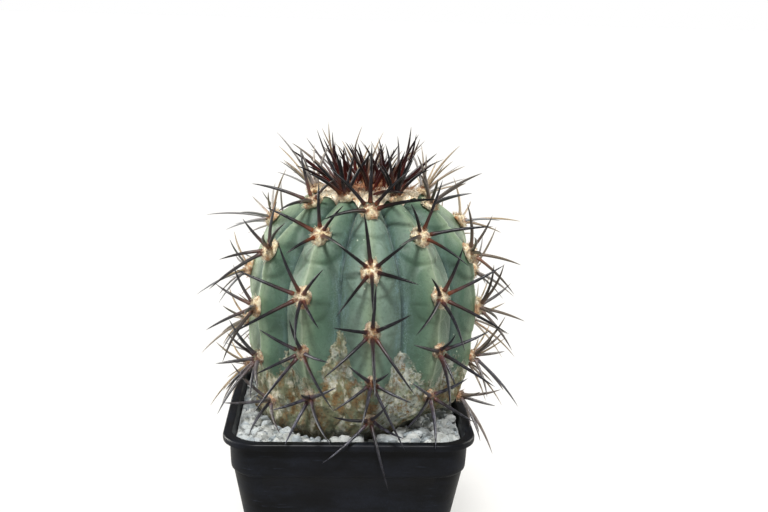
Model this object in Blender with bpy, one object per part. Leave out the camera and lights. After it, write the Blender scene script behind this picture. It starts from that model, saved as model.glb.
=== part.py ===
"""A copiapoa cactus in a square nursery pot, dressed with pumice.

Shapes are worked out in millimetres and scaled to metres when each object is finished.
Z = 0 is the underside of the pot, +X is to the right and -Y is the front.
"""

import math
import random

import bmesh
import bpy
import numpy as np
from mathutils import Euler, Matrix, Vector

METRES = 0.001
GAP = 0.35
SHARP_ANGLE = 40

# Pot, as half-widths of its rounded square sections
POT_HEIGHT = 80.0
LIP_HALF = 45.0
LIP_THICK = 2.5
LIP_TOP_WIDTH = 3.4
COLLAR_HALF = 42.7
COLLAR_DEPTH = 13.0
SHOULDER_HALF = 41.4
BASE_HALF = 30.3
WALL = 1.2
CORNER_RADIUS = 12.8
CORNER_STEPS = 4
DRAIN_RADIUS = 4.5
DRAIN_OFFSET = 18.5

# Soil and pumice, as depths under the rim
SOIL_DEPTH = 8.0
PUMICE_DEPTH = 3.6
STONE_COUNT = 52
STONES_PILED = 12
STONE_RADIUS = (2.1, 3.4)
STONE_SQUASH = (1.0, 0.9, 0.8, 1.0)
STONE_TOP_DEPTH = 1.0

# Body: a rounded barrel that leans a little to the right
BODY_RADIUS = 42.5
WAIST_HEIGHT = 43.0
CROWN_RISE = 41.0
ROOT_DROP = 60.0
CROWN_POWERS = (2.35, 2.1)
BASE_POWERS = (2.2, 3.4)
LEAN_START = 4.0
LEAN_RATE = 0.025
FOOT_RADIUS = 14.0
POCKET_RADIUS = 14.0
POCKET_FLOOR = WAIST_HEIGHT + CROWN_RISE - 5.2

# Ribs: the angle of each crest from the front, and how far along its row of areoles starts
RIB_ANGLES = (2, 36, 72, 105, 137, 168, 200, 232, 264, 297, 329)
AREOLE_STARTS = (0.0, -0.5, -0.06, -0.45, 0.1, -0.35, 0.2, -0.2, -0.5, -0.1, -0.5)
RIB_BOW = 15.0
RIB_TWIST = 2.5
GROOVE_DEPTH = 4.2
GROOVE_START = 22.0
GROOVE_END = 128.0
GROOVE_FADE = 45.0
RIB_STATIONS = (-1.0, -0.84, -0.5, 0.0, 0.5, 0.84)
BUMP_HEIGHT = 1.5
BUMP_SIZE = 8.5
BUMP_DROP = 1.5
BODY_RINGS = 19

# Areoles: their distance from the apex at ages 0 to 6, which slows down towards the foot
AREOLES_PER_RIB = 5
AREOLE_PLACES = (12.5, 26.5, 49.0, 69.5, 87.5, 102.0, 112.0)
PAD_RADIUS = 3.5
PAD_SHRINK = 0.08
PAD_HEIGHT = 1.6

# Spines
SPINE_RADIUS = 0.8
SPINE_SIDES = 3
SPINE_ROOT_OFFSET = 1.6
SPINE_BOW = 0.05
SPINE_SPACE = 0.7
SPINE_SAMPLES = 16
VIEW_TURN = 3.2
VIEW_TILT = 12.8
SIDE_LIFT = 24.0
LOWER_LIFT = 48.0
YOUNG_LIFT = 26.0
SHORTEST = 15.0
LONGEST = 27.0
CLOCK_PATTERN = (0, 52, 103, 147, 180, 213, 257, 308)

# Tips of the front spines, in millimetres right of and above their areole as the front shows them
FRONT_TIPS = {
    (0, 0): ((-15, 15), (0, 24), (14, 15), (23, 4), (-17, -5)),
    (0, 1): ((-3, 20), (-12, 9), (12, 10), (16, -4), (-11, -15), (2, -24)),
    (0, 2): ((-13, 2), (13, 7), (-16, -15), (2, -24), (15, -20), (1, 17)),
    (0, 3): ((-8, 7), (6, 5), (-13, -9), (14, -6), (-3, -14), (12, -22)),
    (0, 4): ((6, 8), (-13, 3), (-16, -14), (7, -23), (12, -5)),
    (1, 1): ((-4, 11), (7, 20), (25, 4), (16, -10), (-12, -6)),
    (1, 2): ((7, 18), (-4, 7), (22, 12), (28, -14), (9, -20), (-9, -12)),
    (1, 3): ((18, 8), (5, 7), (4, -22), (6, -12), (20, -12), (-10, 4)),
    (1, 4): ((-9, -10), (13, 7), (16, -9), (2, -17), (-8, 8)),
    (10, 1): ((-1, 18), (-19, 9), (8, 10), (-11, -7), (10, -5)),
    (10, 2): ((-8, 19), (-23, 9), (8, 10), (-25, -14), (0, -24), (7, -10)),
    (10, 3): ((-4, 12), (-15, 8), (-16, -8), (10, -2), (-18, -24), (14, -20)),
    (10, 4): ((-13, -4), (-3, 3), (-8, -16), (9, -13), (10, 6)),
    (9, 0): ((-5, 19), (-22, 6), (-23, -12), (9, 8), (-10, -13)),
    (9, 1): ((-10, 11), (-18, -4), (-21, -15), (8, 9), (-3, -16), (3, 17)),
    (9, 2): ((-15, 8), (-18, -9), (-8, 15), (-9, -19), (10, 5), (2, -16)),
    (2, 1): ((8, 14), (19, -4), (16, -15), (-9, 9), (-3, 17), (2, -16)),
    (2, 2): ((12, 9), (18, -5), (13, -16), (-10, 8), (3, 16), (-6, -15)),
}

# Young spines of the crown: ring radius, areoles in it, outward lean and length
CROWN_RINGS = ((10.5, 10, 36.0, 24.0), (6.0, 6, 18.0, 23.0), (1.8, 3, 6.0, 21.0))
CROWN_SPINES = 4
WOOL_HEIGHT = 5.0
WOOL_SUNK = 2.4

SEED = 20


def clear_scene():
    for old in list(bpy.data.objects):
        bpy.data.objects.remove(old, do_unlink=True)


def new_collection(name, hidden=False):
    collection = bpy.data.collections.new(name)
    bpy.context.scene.collection.children.link(collection)
    collection.hide_render = hidden
    return collection


def new_material(name, color, roughness):
    material = bpy.data.materials.new(name)
    material.use_nodes = True
    shader = material.node_tree.nodes["Principled BSDF"]
    shader.inputs["Base Color"].default_value = (*color, 1.0)
    shader.inputs["Roughness"].default_value = roughness
    shader.inputs["Metallic"].default_value = 0.0
    return material


def add_object(name, bm, collection, material=None):
    """Turn a millimetre bmesh into a linked, smooth-shaded object in metres."""
    bmesh.ops.recalc_face_normals(bm, faces=bm.faces)
    bm.transform(Matrix.Scale(METRES, 4))
    mesh = bpy.data.meshes.new(name)
    bm.to_mesh(mesh)
    bm.free()
    mesh.shade_smooth()
    mesh.set_sharp_from_angle(angle=math.radians(SHARP_ANGLE))
    obj = bpy.data.objects.new(name, mesh)
    collection.objects.link(obj)
    if material:
        mesh.materials.append(material)
    else:
        obj.hide_render = True
        obj.display_type = "WIRE"
    return obj


def apply_boolean(target, operation, collection):
    """Cut or join a whole collection in one step, then remove its objects."""
    modifier = target.modifiers.new(operation.title(), "BOOLEAN")
    modifier.operation = operation
    modifier.operand_type = "COLLECTION"
    modifier.collection = collection
    modifier.solver = "EXACT"
    graph = bpy.context.evaluated_depsgraph_get()
    result = bpy.data.meshes.new_from_object(target.evaluated_get(graph))
    target.modifiers.clear()
    target.data = result
    for used in list(collection.objects):
        bpy.data.objects.remove(used, do_unlink=True)


def loft(bm, rings):
    """Skin a closed body through rings of equal point counts and cap both ends."""
    loops = [[bm.verts.new(point) for point in ring] for ring in rings]
    count = len(loops[0])
    for low, high in zip(loops, loops[1:]):
        for i in range(count):
            j = (i + 1) % count
            bm.faces.new((low[i], low[j], high[j], high[i]))
    bm.faces.new(loops[0])
    bm.faces.new(loops[-1])


def rounded_square(half, radius, height):
    """One section of the pot: a square with round corners."""
    points = []
    for corner in range(4):
        middle = math.radians(45 + 90 * corner)
        centre = Vector((math.cos(middle), math.sin(middle), 0)) * (half - radius) * math.sqrt(2)
        for step in range(CORNER_STEPS + 1):
            angle = math.radians(90 * corner + 90 * step / CORNER_STEPS)
            points.append(centre + Vector((math.cos(angle), math.sin(angle), 0)) * radius)
    return [(point.x, point.y, height) for point in points]


def wall_half(height):
    """Outer half-width of the lower wall, which tapers down to the base."""
    share = height / (POT_HEIGHT - COLLAR_DEPTH)
    return BASE_HALF + (SHOULDER_HALF - BASE_HALF) * share


def inner_half(height):
    """Inner half-width of the pot at a height above its underside."""
    step_height = POT_HEIGHT - COLLAR_DEPTH
    if height < step_height - 1:
        return wall_half(height) - WALL
    return COLLAR_HALF - 0.5 - WALL


def make_pot(collection, material, cutters):
    """A thin tapered cup in one skin: up the outside, over the lip and down the inside."""
    top = POT_HEIGHT
    step = POT_HEIGHT - COLLAR_DEPTH
    outer_radius = CORNER_RADIUS - 1.5
    lip_inner = LIP_HALF - LIP_TOP_WIDTH
    sections = (
        (BASE_HALF - 0.8, outer_radius - 0.8, 0),
        (BASE_HALF, outer_radius, 0.8),
        (SHOULDER_HALF, outer_radius, step - 0.8),
        (COLLAR_HALF - 0.5, outer_radius + 0.3, step),
        (COLLAR_HALF, outer_radius + 0.5, top - LIP_THICK),
        (LIP_HALF - 0.3, CORNER_RADIUS, top - LIP_THICK),
        (LIP_HALF, CORNER_RADIUS, top - LIP_THICK + 0.4),
        (LIP_HALF, CORNER_RADIUS, top - 0.6),
        (LIP_HALF - 0.6, CORNER_RADIUS - 0.3, top),
        (lip_inner + 0.4, CORNER_RADIUS - 1.8, top),
        (lip_inner, CORNER_RADIUS - 2.0, top - 0.5),
        (inner_half(step), outer_radius - 0.9, step + 0.2),
        (inner_half(step - 2), outer_radius - WALL, step - 1.0),
        (inner_half(WALL), outer_radius - WALL, WALL + 0.3),
    )
    bm = bmesh.new()
    loft(bm, [rounded_square(*section) for section in sections])
    pot = add_object("pot", bm, collection, material)
    for across in (-1, 1):
        for along in (-1, 1):
            hole = bmesh.new()
            place = Matrix.Translation((across * DRAIN_OFFSET, along * DRAIN_OFFSET, 0))
            bmesh.ops.create_cone(hole, cap_ends=True, segments=12, radius1=DRAIN_RADIUS,
                                  radius2=DRAIN_RADIUS, depth=8 * WALL, matrix=place)
            add_object("drain_cutter", hole, cutters)
    apply_boolean(pot, "DIFFERENCE", cutters)


def make_soil(collection, material):
    """The potting mix fills the pot and has a plain round pit for the plant's buried foot."""
    floor = WALL + 0.3 + GAP
    top = POT_HEIGHT - SOIL_DEPTH
    step = POT_HEIGHT - COLLAR_DEPTH - 1.5
    radius = CORNER_RADIUS - 1.5 - WALL
    pit_floor = POT_HEIGHT + WAIST_HEIGHT - ROOT_DROP - GAP
    pit_radius = body_radius_at(-SOIL_DEPTH) + 1.4
    pit_centre = LEAN_START - LEAN_RATE * SOIL_DEPTH

    def pit_ring(height):
        count = 4 * (CORNER_STEPS + 1)
        angles = [2 * math.pi * (i + 0.5) / count for i in range(count)]
        return [(pit_centre + pit_radius * math.cos(a), pit_radius * math.sin(a), height) for a in angles]

    rings = [rounded_square(inner_half(floor) - GAP, radius, floor)]
    rings.append(rounded_square(inner_half(step) - GAP, radius, step))
    rings.append(rounded_square(inner_half(step) - GAP, radius, top))
    rings.append(pit_ring(top))
    rings.append(pit_ring(pit_floor))
    bm = bmesh.new()
    loft(bm, rings)
    add_object("soil", bm, collection, material)


def build_meridian():
    """The barrel's outline from apex to root, as (radius, height above the rim) with its length."""
    points = []
    steps = 240
    for i in range(steps + 1):
        turn = math.pi / 2 * (1 - i / steps)
        radius = BODY_RADIUS * abs(math.cos(turn)) ** (2 / CROWN_POWERS[0])
        rise = CROWN_RISE * math.sin(turn) ** (2 / CROWN_POWERS[1])
        points.append((radius, WAIST_HEIGHT + rise))
    points[0] = (0.0, WAIST_HEIGHT + CROWN_RISE)
    for i in range(1, steps + 1):
        drop = i / steps
        radius = BODY_RADIUS * (1 - drop ** BASE_POWERS[1]) ** (1 / BASE_POWERS[0])
        points.append((radius, WAIST_HEIGHT - ROOT_DROP * drop))
    outline = np.array(points)
    steps_along = np.hypot(*np.diff(outline, axis=0).T)
    return outline, np.concatenate([[0.0], np.cumsum(steps_along)])


OUTLINE, OUTLINE_LENGTH = build_meridian()


def outline_at(along):
    """Radius, height and outward normal of the plain barrel at a distance from the apex."""
    radius = float(np.interp(along, OUTLINE_LENGTH, OUTLINE[:, 0]))
    height = float(np.interp(along, OUTLINE_LENGTH, OUTLINE[:, 1]))
    ahead = [float(np.interp(along + 1.0, OUTLINE_LENGTH, OUTLINE[:, k])) for k in (0, 1)]
    behind = [float(np.interp(along - 1.0, OUTLINE_LENGTH, OUTLINE[:, k])) for k in (0, 1)]
    tangent = Vector((ahead[0] - behind[0], ahead[1] - behind[1])).normalized()
    return radius, height, Vector((-tangent.y, tangent.x))


def body_radius_at(height):
    """Crest radius of the barrel at a height above the rim."""
    return float(np.interp(-height, -OUTLINE[:, 1], OUTLINE[:, 0]))


def crest_angle(rib, height):
    """Crests bow a little to the front at the top and the foot of the body."""
    angle = RIB_ANGLES[rib % len(RIB_ANGLES)] + 360 * (rib // len(RIB_ANGLES))
    share = (height - WAIST_HEIGHT) / CROWN_RISE
    bow = RIB_BOW * min(share ** 2, 1.0) * math.sin(math.radians(angle))
    return angle - bow - RIB_TWIST * share


def areole_age(rib, row):
    """Areoles grow out of the crown one after another; the oldest are at the foot."""
    return 1 + row + AREOLE_STARTS[rib]


def areole_along(rib, row):
    """Distance of an areole from the apex, down the crest of its rib."""
    return float(np.interp(areole_age(rib, row), range(len(AREOLE_PLACES)), AREOLE_PLACES))


def pad_radius(age):
    return PAD_RADIUS * (1 - PAD_SHRINK * (age - 1))


def station_angle(rib, share, height):
    """The angle at a share of the way from a crest to the groove on either side."""
    here = crest_angle(rib, height)
    other = crest_angle(rib + (1 if share > 0 else -1), height)
    return here + abs(share) * (other - here) / 2


def surface_point(rib, share, along):
    """A point of the ribbed body: grooves sink and areoles stand on low bumps."""
    radius, height, normal = outline_at(along)
    angle = station_angle(rib, share, height)
    fade = min(1.0, along / GROOVE_START) * min(1.0, max(0.25, (GROOVE_END - along) / GROOVE_FADE))
    rise = -GROOVE_DEPTH * fade * (0.45 * share ** 2 + 0.55 * abs(share) ** 7)
    for row in range(AREOLES_PER_RIB):
        down = along - areole_along(rib, row) - BUMP_DROP
        aside = radius * math.radians(angle - crest_angle(rib, height))
        rise += BUMP_HEIGHT * math.exp(-(down ** 2 + aside ** 2) / BUMP_SIZE ** 2)
    return on_axis(angle, radius + rise * normal.x, height + rise * normal.y)


def on_axis(angle, radius, height):
    """Place a point round the leaning axis; angles run from the front towards the right."""
    turn = math.radians(angle)
    lean = LEAN_START + LEAN_RATE * height
    return Vector((lean + radius * math.sin(turn), -radius * math.cos(turn), POT_HEIGHT + height))


def make_body(collection, material):
    """A ribbed barrel with a shallow pocket at the top, where the wool of the crown sits."""
    foot = OUTLINE_LENGTH[-1] - FOOT_RADIUS
    pocket = POCKET_RADIUS + 0.5
    rings = []
    for radius, height in ((POCKET_RADIUS - 2, POCKET_FLOOR), (POCKET_RADIUS, POCKET_FLOOR + 1.6)):
        rings.append([on_axis(station_angle(rib, share, height), radius, height)
                      for rib in range(len(RIB_ANGLES)) for share in RIB_STATIONS])
    for i in range(BODY_RINGS + 1):
        along = pocket + (foot - pocket) * i / BODY_RINGS
        rings.append([surface_point(rib, share, along)
                      for rib in range(len(RIB_ANGLES)) for share in RIB_STATIONS])
    bm = bmesh.new()
    loft(bm, rings)
    add_object("cactus_body", bm, collection, material)


def make_pumice(collection, material, cutters):
    """A slab of fine pumice round the body, with the larger stones fused into it."""
    rng = random.Random(SEED)
    low = POT_HEIGHT - SOIL_DEPTH + GAP
    high = POT_HEIGHT - PUMICE_DEPTH
    half = inner_half(POT_HEIGHT - 2) - GAP
    radius = CORNER_RADIUS - 3.0
    bm = bmesh.new()
    loft(bm, [rounded_square(half, radius, low), rounded_square(half, radius, high)])
    pumice = add_object("pumice", bm, collection, material)
    inside = body_radius_at(-STONE_TOP_DEPTH) + 1.2
    placed = []
    while len(placed) < STONE_COUNT:
        size = rng.uniform(*STONE_RADIUS)
        edge = half - 0.9 * size
        x = rng.uniform(-edge, edge)
        y = rng.uniform(-edge, edge)
        past_corner = math.hypot(max(0, abs(x) - half + radius), max(0, abs(y) - half + radius))
        near_corner = past_corner > radius - 0.9 * size
        near_body = math.hypot(x - LEAN_START, y) < inside + size
        crowded = any(math.hypot(x - a, y - b) < 0.75 * (size + c) for a, b, c in placed)
        if near_corner or near_body or (crowded and len(placed) < STONE_COUNT - STONES_PILED):
            continue
        placed.append((x, y, size))
        top = high + rng.uniform(0.8, PUMICE_DEPTH - STONE_TOP_DEPTH)
        spin = Euler([rng.uniform(0, math.tau) for _ in range(3)]).to_matrix().to_4x4()
        place = Matrix.Translation((x, y, top - 0.85 * size)) @ Matrix.Diagonal(STONE_SQUASH) @ spin
        stone = bmesh.new()
        bmesh.ops.create_icosphere(stone, subdivisions=1, radius=size, matrix=place)
        add_object("stone", stone, cutters)
    apply_boolean(pumice, "UNION", cutters)
    hole = bmesh.new()
    around = body_radius_at(-PUMICE_DEPTH) + 0.9
    place = Matrix.Translation((LEAN_START, 0, high))
    bmesh.ops.create_cone(hole, cap_ends=True, segments=36, radius1=around,
                          radius2=around, depth=4 * SOIL_DEPTH, matrix=place)
    add_object("body_cutter", hole, cutters)
    apply_boolean(pumice, "DIFFERENCE", cutters)


class Spine:
    """One spine: its root, tip and the way it bows."""

    def __init__(self, root, direction, length, bow):
        self.root = root
        self.direction = direction
        self.length = length
        self.bow = bow

    def point(self, share):
        swell = 4 * share * (1 - share) * SPINE_BOW * self.length
        return self.root + self.direction * self.length * share + self.bow * swell

    def samples(self):
        """Points and half-widths along it, for keeping spines apart."""
        shares = [i / (SPINE_SAMPLES - 1) for i in range(SPINE_SAMPLES)]
        return np.array([(*self.point(s), SPINE_RADIUS * (1 - 0.8 * s)) for s in shares])


def areole_frame(rib, row):
    """Place, outward normal, upward and sideways directions of an areole."""
    along = areole_along(rib, row)
    place = surface_point(rib, 0.0, along)
    up = (surface_point(rib, 0.0, along - 2.0) - surface_point(rib, 0.0, along + 2.0)).normalized()
    side = (surface_point(rib, 0.12, along) - surface_point(rib, -0.12, along)).normalized()
    normal = side.cross(up).normalized()
    if normal.dot(place - Vector((LEAN_START, 0, place.z))) < 0:
        normal.negate()
    return place, normal, up, side


def front_axes():
    """Right, up and out of the plane in which the front tips are measured."""
    turn = math.radians(VIEW_TURN)
    tilt = math.radians(VIEW_TILT)
    out = -Vector((math.sin(turn) * math.cos(tilt), math.cos(turn) * math.cos(tilt), -math.sin(tilt)))
    right = Vector((math.cos(turn), -math.sin(turn), 0))
    return right, out.cross(right), out


def seen_spine(frame, tip, lift, turn):
    """A direction and length that keep a measured tip in the front view and rise by `lift`."""
    normal = frame[1]
    right, above, out = front_axes()
    reach = math.hypot(*tip)
    flat = (right * tip[0] + above * tip[1]) / reach
    flat = Matrix.Rotation(math.radians(turn), 3, out) @ flat
    along = flat.dot(normal)
    outward = out.dot(normal)
    size = math.hypot(along, outward)
    wanted = min(0.98, math.sin(math.radians(lift)) / size)
    forward = math.asin(wanted) - math.atan2(along, outward)
    forward = max(forward, math.acos(min(1.0, reach / SHORTEST)))
    length = min(LONGEST, reach / max(0.35, math.cos(forward)))
    direction = flat * math.cos(forward) + out * math.sin(forward)
    return direction.normalized(), length


def ruled_spine(frame, clock, lift, length):
    """A direction at a clock angle round the areole, rising by `lift` from the skin."""
    normal, up, side = frame[1:]
    clock = math.radians(clock)
    lift = math.radians(lift)
    flat = up * math.cos(clock) + side * math.sin(clock)
    return (flat * math.cos(lift) + normal * math.sin(lift)).normalized(), length


def is_clear(spine, others):
    """True where a spine stays off the skin, the pot, the stones and its neighbours."""
    points = spine.samples()
    for x, y, z, half in points[3:]:
        height = z - POT_HEIGHT
        lean = LEAN_START + LEAN_RATE * height
        skin = body_radius_at(height) + BUMP_HEIGHT if height > -10 else 0.0
        if height < WAIST_HEIGHT + CROWN_RISE and math.hypot(x - lean, y) < skin + half + SPINE_SPACE:
            return False
        over_pot = max(abs(x), abs(y)) < LIP_HALF + half + SPINE_SPACE
        if over_pot and height < half + SPINE_SPACE:
            return False
    if not len(others):
        return True
    apart = np.linalg.norm(points[:, None, :3] - others[None, :, :3], axis=2)
    needed = points[:, None, 3] + others[None, :, 3] + SPINE_SPACE
    return bool((apart > needed).all())


def clear_spine(frame, others, make, lifts, turns):
    """Try gentle changes of lift, then of direction, until the spine crosses nothing."""
    place, normal = frame[:2]
    for turn in turns:
        for lift in lifts:
            direction, length = make(lift, turn)
            bow = (normal - direction * normal.dot(direction)).normalized()
            aside = (direction - normal * normal.dot(direction)) * SPINE_ROOT_OFFSET
            root = place + aside + normal * (GAP + 0.5 * PAD_HEIGHT)
            spine = Spine(root, direction, length - SPINE_ROOT_OFFSET, bow)
            if is_clear(spine, others):
                return spine
    return None


def cluster_spines(rib, row, others, rng):
    """The spines of one areole: measured ones at the front, an even pattern elsewhere."""
    frame = areole_frame(rib, row)
    turns = (0, 6, -6, 12, -12, 18, -18)
    spines = []
    if (rib, row) in FRONT_TIPS:
        for tip in FRONT_TIPS[rib, row]:
            straight_down = tip[1] < -12 and abs(tip[0]) < 10
            lift = LOWER_LIFT if straight_down else SIDE_LIFT
            lifts = [lift + change for change in (0, 7, 14, -6, 21, 28, 35)]
            spines.append(clear_spine(
                frame, others, lambda up, turn, tip=tip: seen_spine(frame, tip, up, turn), lifts, turns))
    else:
        skipped = rng.randrange(len(CLOCK_PATTERN))
        for i, clock in enumerate(CLOCK_PATTERN):
            aim = clock + rng.uniform(-9, 9)
            base = LOWER_LIFT if clock == 180 else SIDE_LIFT + rng.uniform(0, 9)
            base += YOUNG_LIFT * max(0.0, 1.5 - areole_age(rib, row))
            length = rng.uniform(21, 26) if clock == 180 else rng.uniform(15.5, 20.5)
            lifts = [base + change for change in (0, 7, 14, -6, 21, 28, 35)]
            if i != skipped:
                spines.append(clear_spine(
                    frame, others,
                    lambda up, turn, aim=aim, size=length: ruled_spine(frame, aim + turn, up, size),
                    lifts, turns))
    return frame, [spine for spine in spines if spine]


def crown_spines(others, rng):
    """Young spines that stand up out of the wool, leaning out more towards its edge."""
    spines = []
    base = WAIST_HEIGHT + CROWN_RISE - 2.0
    for radius, count, lean, length in CROWN_RINGS:
        for i in range(count):
            spot = 360 * (i + rng.uniform(-0.2, 0.2)) / count
            root = on_axis(spot, radius, base)
            turn = math.radians(spot)
            outward = Vector((math.sin(turn), -math.cos(turn), 0))
            across = Vector((math.cos(turn), math.sin(turn), 0))
            normal = (outward * math.sin(math.radians(lean)) + Vector((0, 0, 1))
                      * math.cos(math.radians(lean))).normalized()
            frame = (root - normal * GAP, normal, across.cross(normal), across)
            for k in range(CROWN_SPINES):
                clock = 360 * (k + rng.uniform(-0.25, 0.25)) / CROWN_SPINES + 45
                lift = rng.uniform(52, 72)
                size = length * rng.uniform(0.85, 1.12)
                found = clear_spine(
                    frame, others,
                    lambda up, turn, aim=clock, size=size: ruled_spine(frame, aim + turn, up, size),
                    [lift, lift + 8, lift - 10, lift + 16], (0, 15, -15, 30, -30))
                if found:
                    spines.append(found)
    return spines


def add_spine_object(spine, collection):
    """A slim three-sided cone, cut once across, that follows the spine's bow."""
    bm = bmesh.new()
    bmesh.ops.create_cone(bm, cap_ends=True, segments=SPINE_SIDES, radius1=1.0, radius2=0.0, depth=1.0)
    sides = [edge for edge in bm.edges if abs(edge.verts[0].co.z - edge.verts[1].co.z) > 0.5]
    bmesh.ops.subdivide_edges(bm, edges=sides, cuts=1)
    facing = spine.direction.to_track_quat("Z", "Y").to_matrix()
    for vert in bm.verts:
        share = vert.co.z + 0.5
        width = SPINE_RADIUS * (1.5 if 0.4 < share < 0.6 else 1.0)
        vert.co = spine.point(share) + facing @ Vector((vert.co.x * width, vert.co.y * width, 0))
    add_object("spine", bm, collection)


def make_cluster(name, frame, radius, spines, collection, material, cutters):
    """A felted pad with the spines of one areole fused into it."""
    place, normal, up, side = frame
    basis = Matrix((side, up, normal)).transposed().to_4x4()
    shape = Matrix.Diagonal((radius * 0.95, radius * 1.05, PAD_HEIGHT, 1.0))
    bm = bmesh.new()
    bmesh.ops.create_uvsphere(bm, u_segments=8, v_segments=4, radius=1.0)
    for vert in bm.verts:
        vert.co.z = max(0.0, vert.co.z)
    bmesh.ops.remove_doubles(bm, verts=bm.verts, dist=0.001)
    flat = [vert for vert in bm.verts if vert.co.z == 0.0 and vert.co.length < 0.95]
    bmesh.ops.delete(bm, geom=flat, context="VERTS")
    rim = [edge for edge in bm.edges if edge.is_boundary]
    if rim:
        bmesh.ops.contextual_create(bm, geom=rim)
    bm.transform(Matrix.Translation(place + normal * GAP) @ basis @ shape)
    pad = add_object(name, bm, collection, material)
    for spine in spines:
        add_spine_object(spine, cutters)
    apply_boolean(pad, "UNION", cutters)


def make_crown(spines, collection, material, cutters):
    """A low cushion of wool in the pocket, with the young spines fused into it."""
    middle = POCKET_FLOOR + WOOL_SUNK + GAP
    bm = bmesh.new()
    bmesh.ops.create_uvsphere(bm, u_segments=20, v_segments=8, radius=1.0)
    for vert in bm.verts:
        height = vert.co.z * (WOOL_HEIGHT if vert.co.z > 0 else WOOL_SUNK)
        radius = (POCKET_RADIUS - 0.8) * math.hypot(vert.co.x, vert.co.y)
        angle = math.degrees(math.atan2(vert.co.x, -vert.co.y))
        vert.co = on_axis(angle, radius, middle + height)
    crown = add_object("crown", bm, collection, material)
    for spine in spines:
        add_spine_object(spine, cutters)
    apply_boolean(crown, "UNION", cutters)


def make_areoles(collection, spine_material, crown_material, cutters):
    """Every cluster is laid out before it is built, so that none crosses another."""
    rng = random.Random(SEED)
    others = np.zeros((0, 4))
    order = sorted(((rib, row) for rib in range(len(RIB_ANGLES)) for row in range(AREOLES_PER_RIB)),
                   key=lambda spot: (spot not in FRONT_TIPS, spot))
    pads = {spot: areole_frame(*spot) for spot in order}
    for rib, row in order:
        near = [(*(place + normal), pad_radius(areole_age(*spot)))
                for spot, (place, normal, _, _) in pads.items() if spot != (rib, row)]
        frame, spines = cluster_spines(rib, row, np.vstack([others, near]), rng)
        for spine in spines:
            others = np.vstack([others, spine.samples()])
        name = f"areole_{rib + 1:02d}_{row + 1}"
        radius = pad_radius(areole_age(rib, row))
        make_cluster(name, frame, radius, spines, collection, spine_material, cutters)
    make_crown(crown_spines(others, rng), collection, crown_material, cutters)


def main():
    clear_scene()
    parts = new_collection("copiapoa cactus")
    cutters = new_collection("cutters", hidden=True)
    black_plastic = new_material("black plastic", (0.016, 0.017, 0.020), 0.45)
    dark_soil = new_material("dark soil", (0.045, 0.032, 0.022), 0.95)
    white_pumice = new_material("white pumice", (0.46, 0.45, 0.42), 0.9)
    green_skin = new_material("glaucous skin", (0.115, 0.175, 0.140), 0.6)
    spine_horn = new_material("spine horn", (0.060, 0.035, 0.035), 0.5)
    crown_horn = new_material("young spine horn", (0.085, 0.022, 0.018), 0.5)
    make_pot(parts, black_plastic, cutters)
    make_soil(parts, dark_soil)
    make_pumice(parts, white_pumice, cutters)
    make_body(parts, green_skin)
    make_areoles(parts, spine_horn, crown_horn, cutters)


main()
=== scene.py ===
import math
import random

import bmesh
import bpy
import numpy as np
from mathutils import Euler, Matrix, Vector, noise


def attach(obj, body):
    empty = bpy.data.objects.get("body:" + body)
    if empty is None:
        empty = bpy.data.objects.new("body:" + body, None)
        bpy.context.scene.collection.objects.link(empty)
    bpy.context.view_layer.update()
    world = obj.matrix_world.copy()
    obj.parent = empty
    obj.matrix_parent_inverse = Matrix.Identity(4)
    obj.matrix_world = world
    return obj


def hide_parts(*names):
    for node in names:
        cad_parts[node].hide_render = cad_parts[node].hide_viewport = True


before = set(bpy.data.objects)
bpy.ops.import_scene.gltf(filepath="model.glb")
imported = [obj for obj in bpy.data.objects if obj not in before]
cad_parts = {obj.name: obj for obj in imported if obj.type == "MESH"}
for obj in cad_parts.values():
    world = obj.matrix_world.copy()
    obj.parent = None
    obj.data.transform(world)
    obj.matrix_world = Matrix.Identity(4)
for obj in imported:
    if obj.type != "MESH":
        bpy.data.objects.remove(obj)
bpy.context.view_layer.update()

# A copiapoa cactus in a square nursery pot. Lengths are in millimetres and become metres in addPiece.
# Z = 0 is the underside of the pot, +X is to the right and -Y is the front. Angles are in degrees and
# run from the front towards the right. Tones are screen colours from 0 to 255.
metres = 0.001
seed = 20

# The barrel and its ribs, as the CAD has them
barrel = {
    "rimHeight": 80.0,  # top of the pot; body heights count from here
    "lipHalf": 45.0,  # half the width of the pot's lip
    "radius": 42.5,
    "waistHeight": 43.0,
    "crownRise": 41.0,
    "rootDrop": 60.0,
    "crownPowers": (2.35, 2.1),
    "basePowers": (2.2, 3.4),
    "outlineSteps": 240,
    "leanStart": 4.0,
    "leanRate": 0.025,
    "footRadius": 14.0,
    "pocketRadius": 14.0,
    "pocketFloor": 78.8,
    "ribAngles": (2, 36, 72, 105, 137, 168, 200, 232, 264, 297, 329),
    "ribBow": 15.0,
    "ribTwist": 2.5,
    "grooveDepth": 4.2,
    "grooveForm": ((0.45, 2), (0.55, 7)),  # parts of the depth and their powers across a rib
    "grooveStart": 22.0,
    "grooveEnd": 128.0,
    "grooveFade": 45.0,
    "grooveLeast": 0.25,
    "bumpHeight": 1.5,
    "bumpSize": 8.5,
    "bumpDrop": 1.5,
}
ribCount = len(barrel["ribAngles"])
crownTop = barrel["waistHeight"] + barrel["crownRise"]

# Areoles: how far along each rib's row starts, and their distance from the apex at ages 0 to 6
areoles = {
    "perRib": 5,
    "starts": (0.0, -0.5, -0.06, -0.45, 0.1, -0.35, 0.2, -0.2, -0.5, -0.1, -0.5),
    "places": (12.5, 26.5, 49.0, 69.5, 87.5, 102.0, 112.0),
    "padRadius": 3.5,
    "padShrink": 0.08,
    "padHeight": 1.6,
    "gap": 0.35,
    "feelAlong": 2.0,  # how far its axes feel along the rib, and across it as a share
    "feelAcross": 0.12,
}

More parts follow.
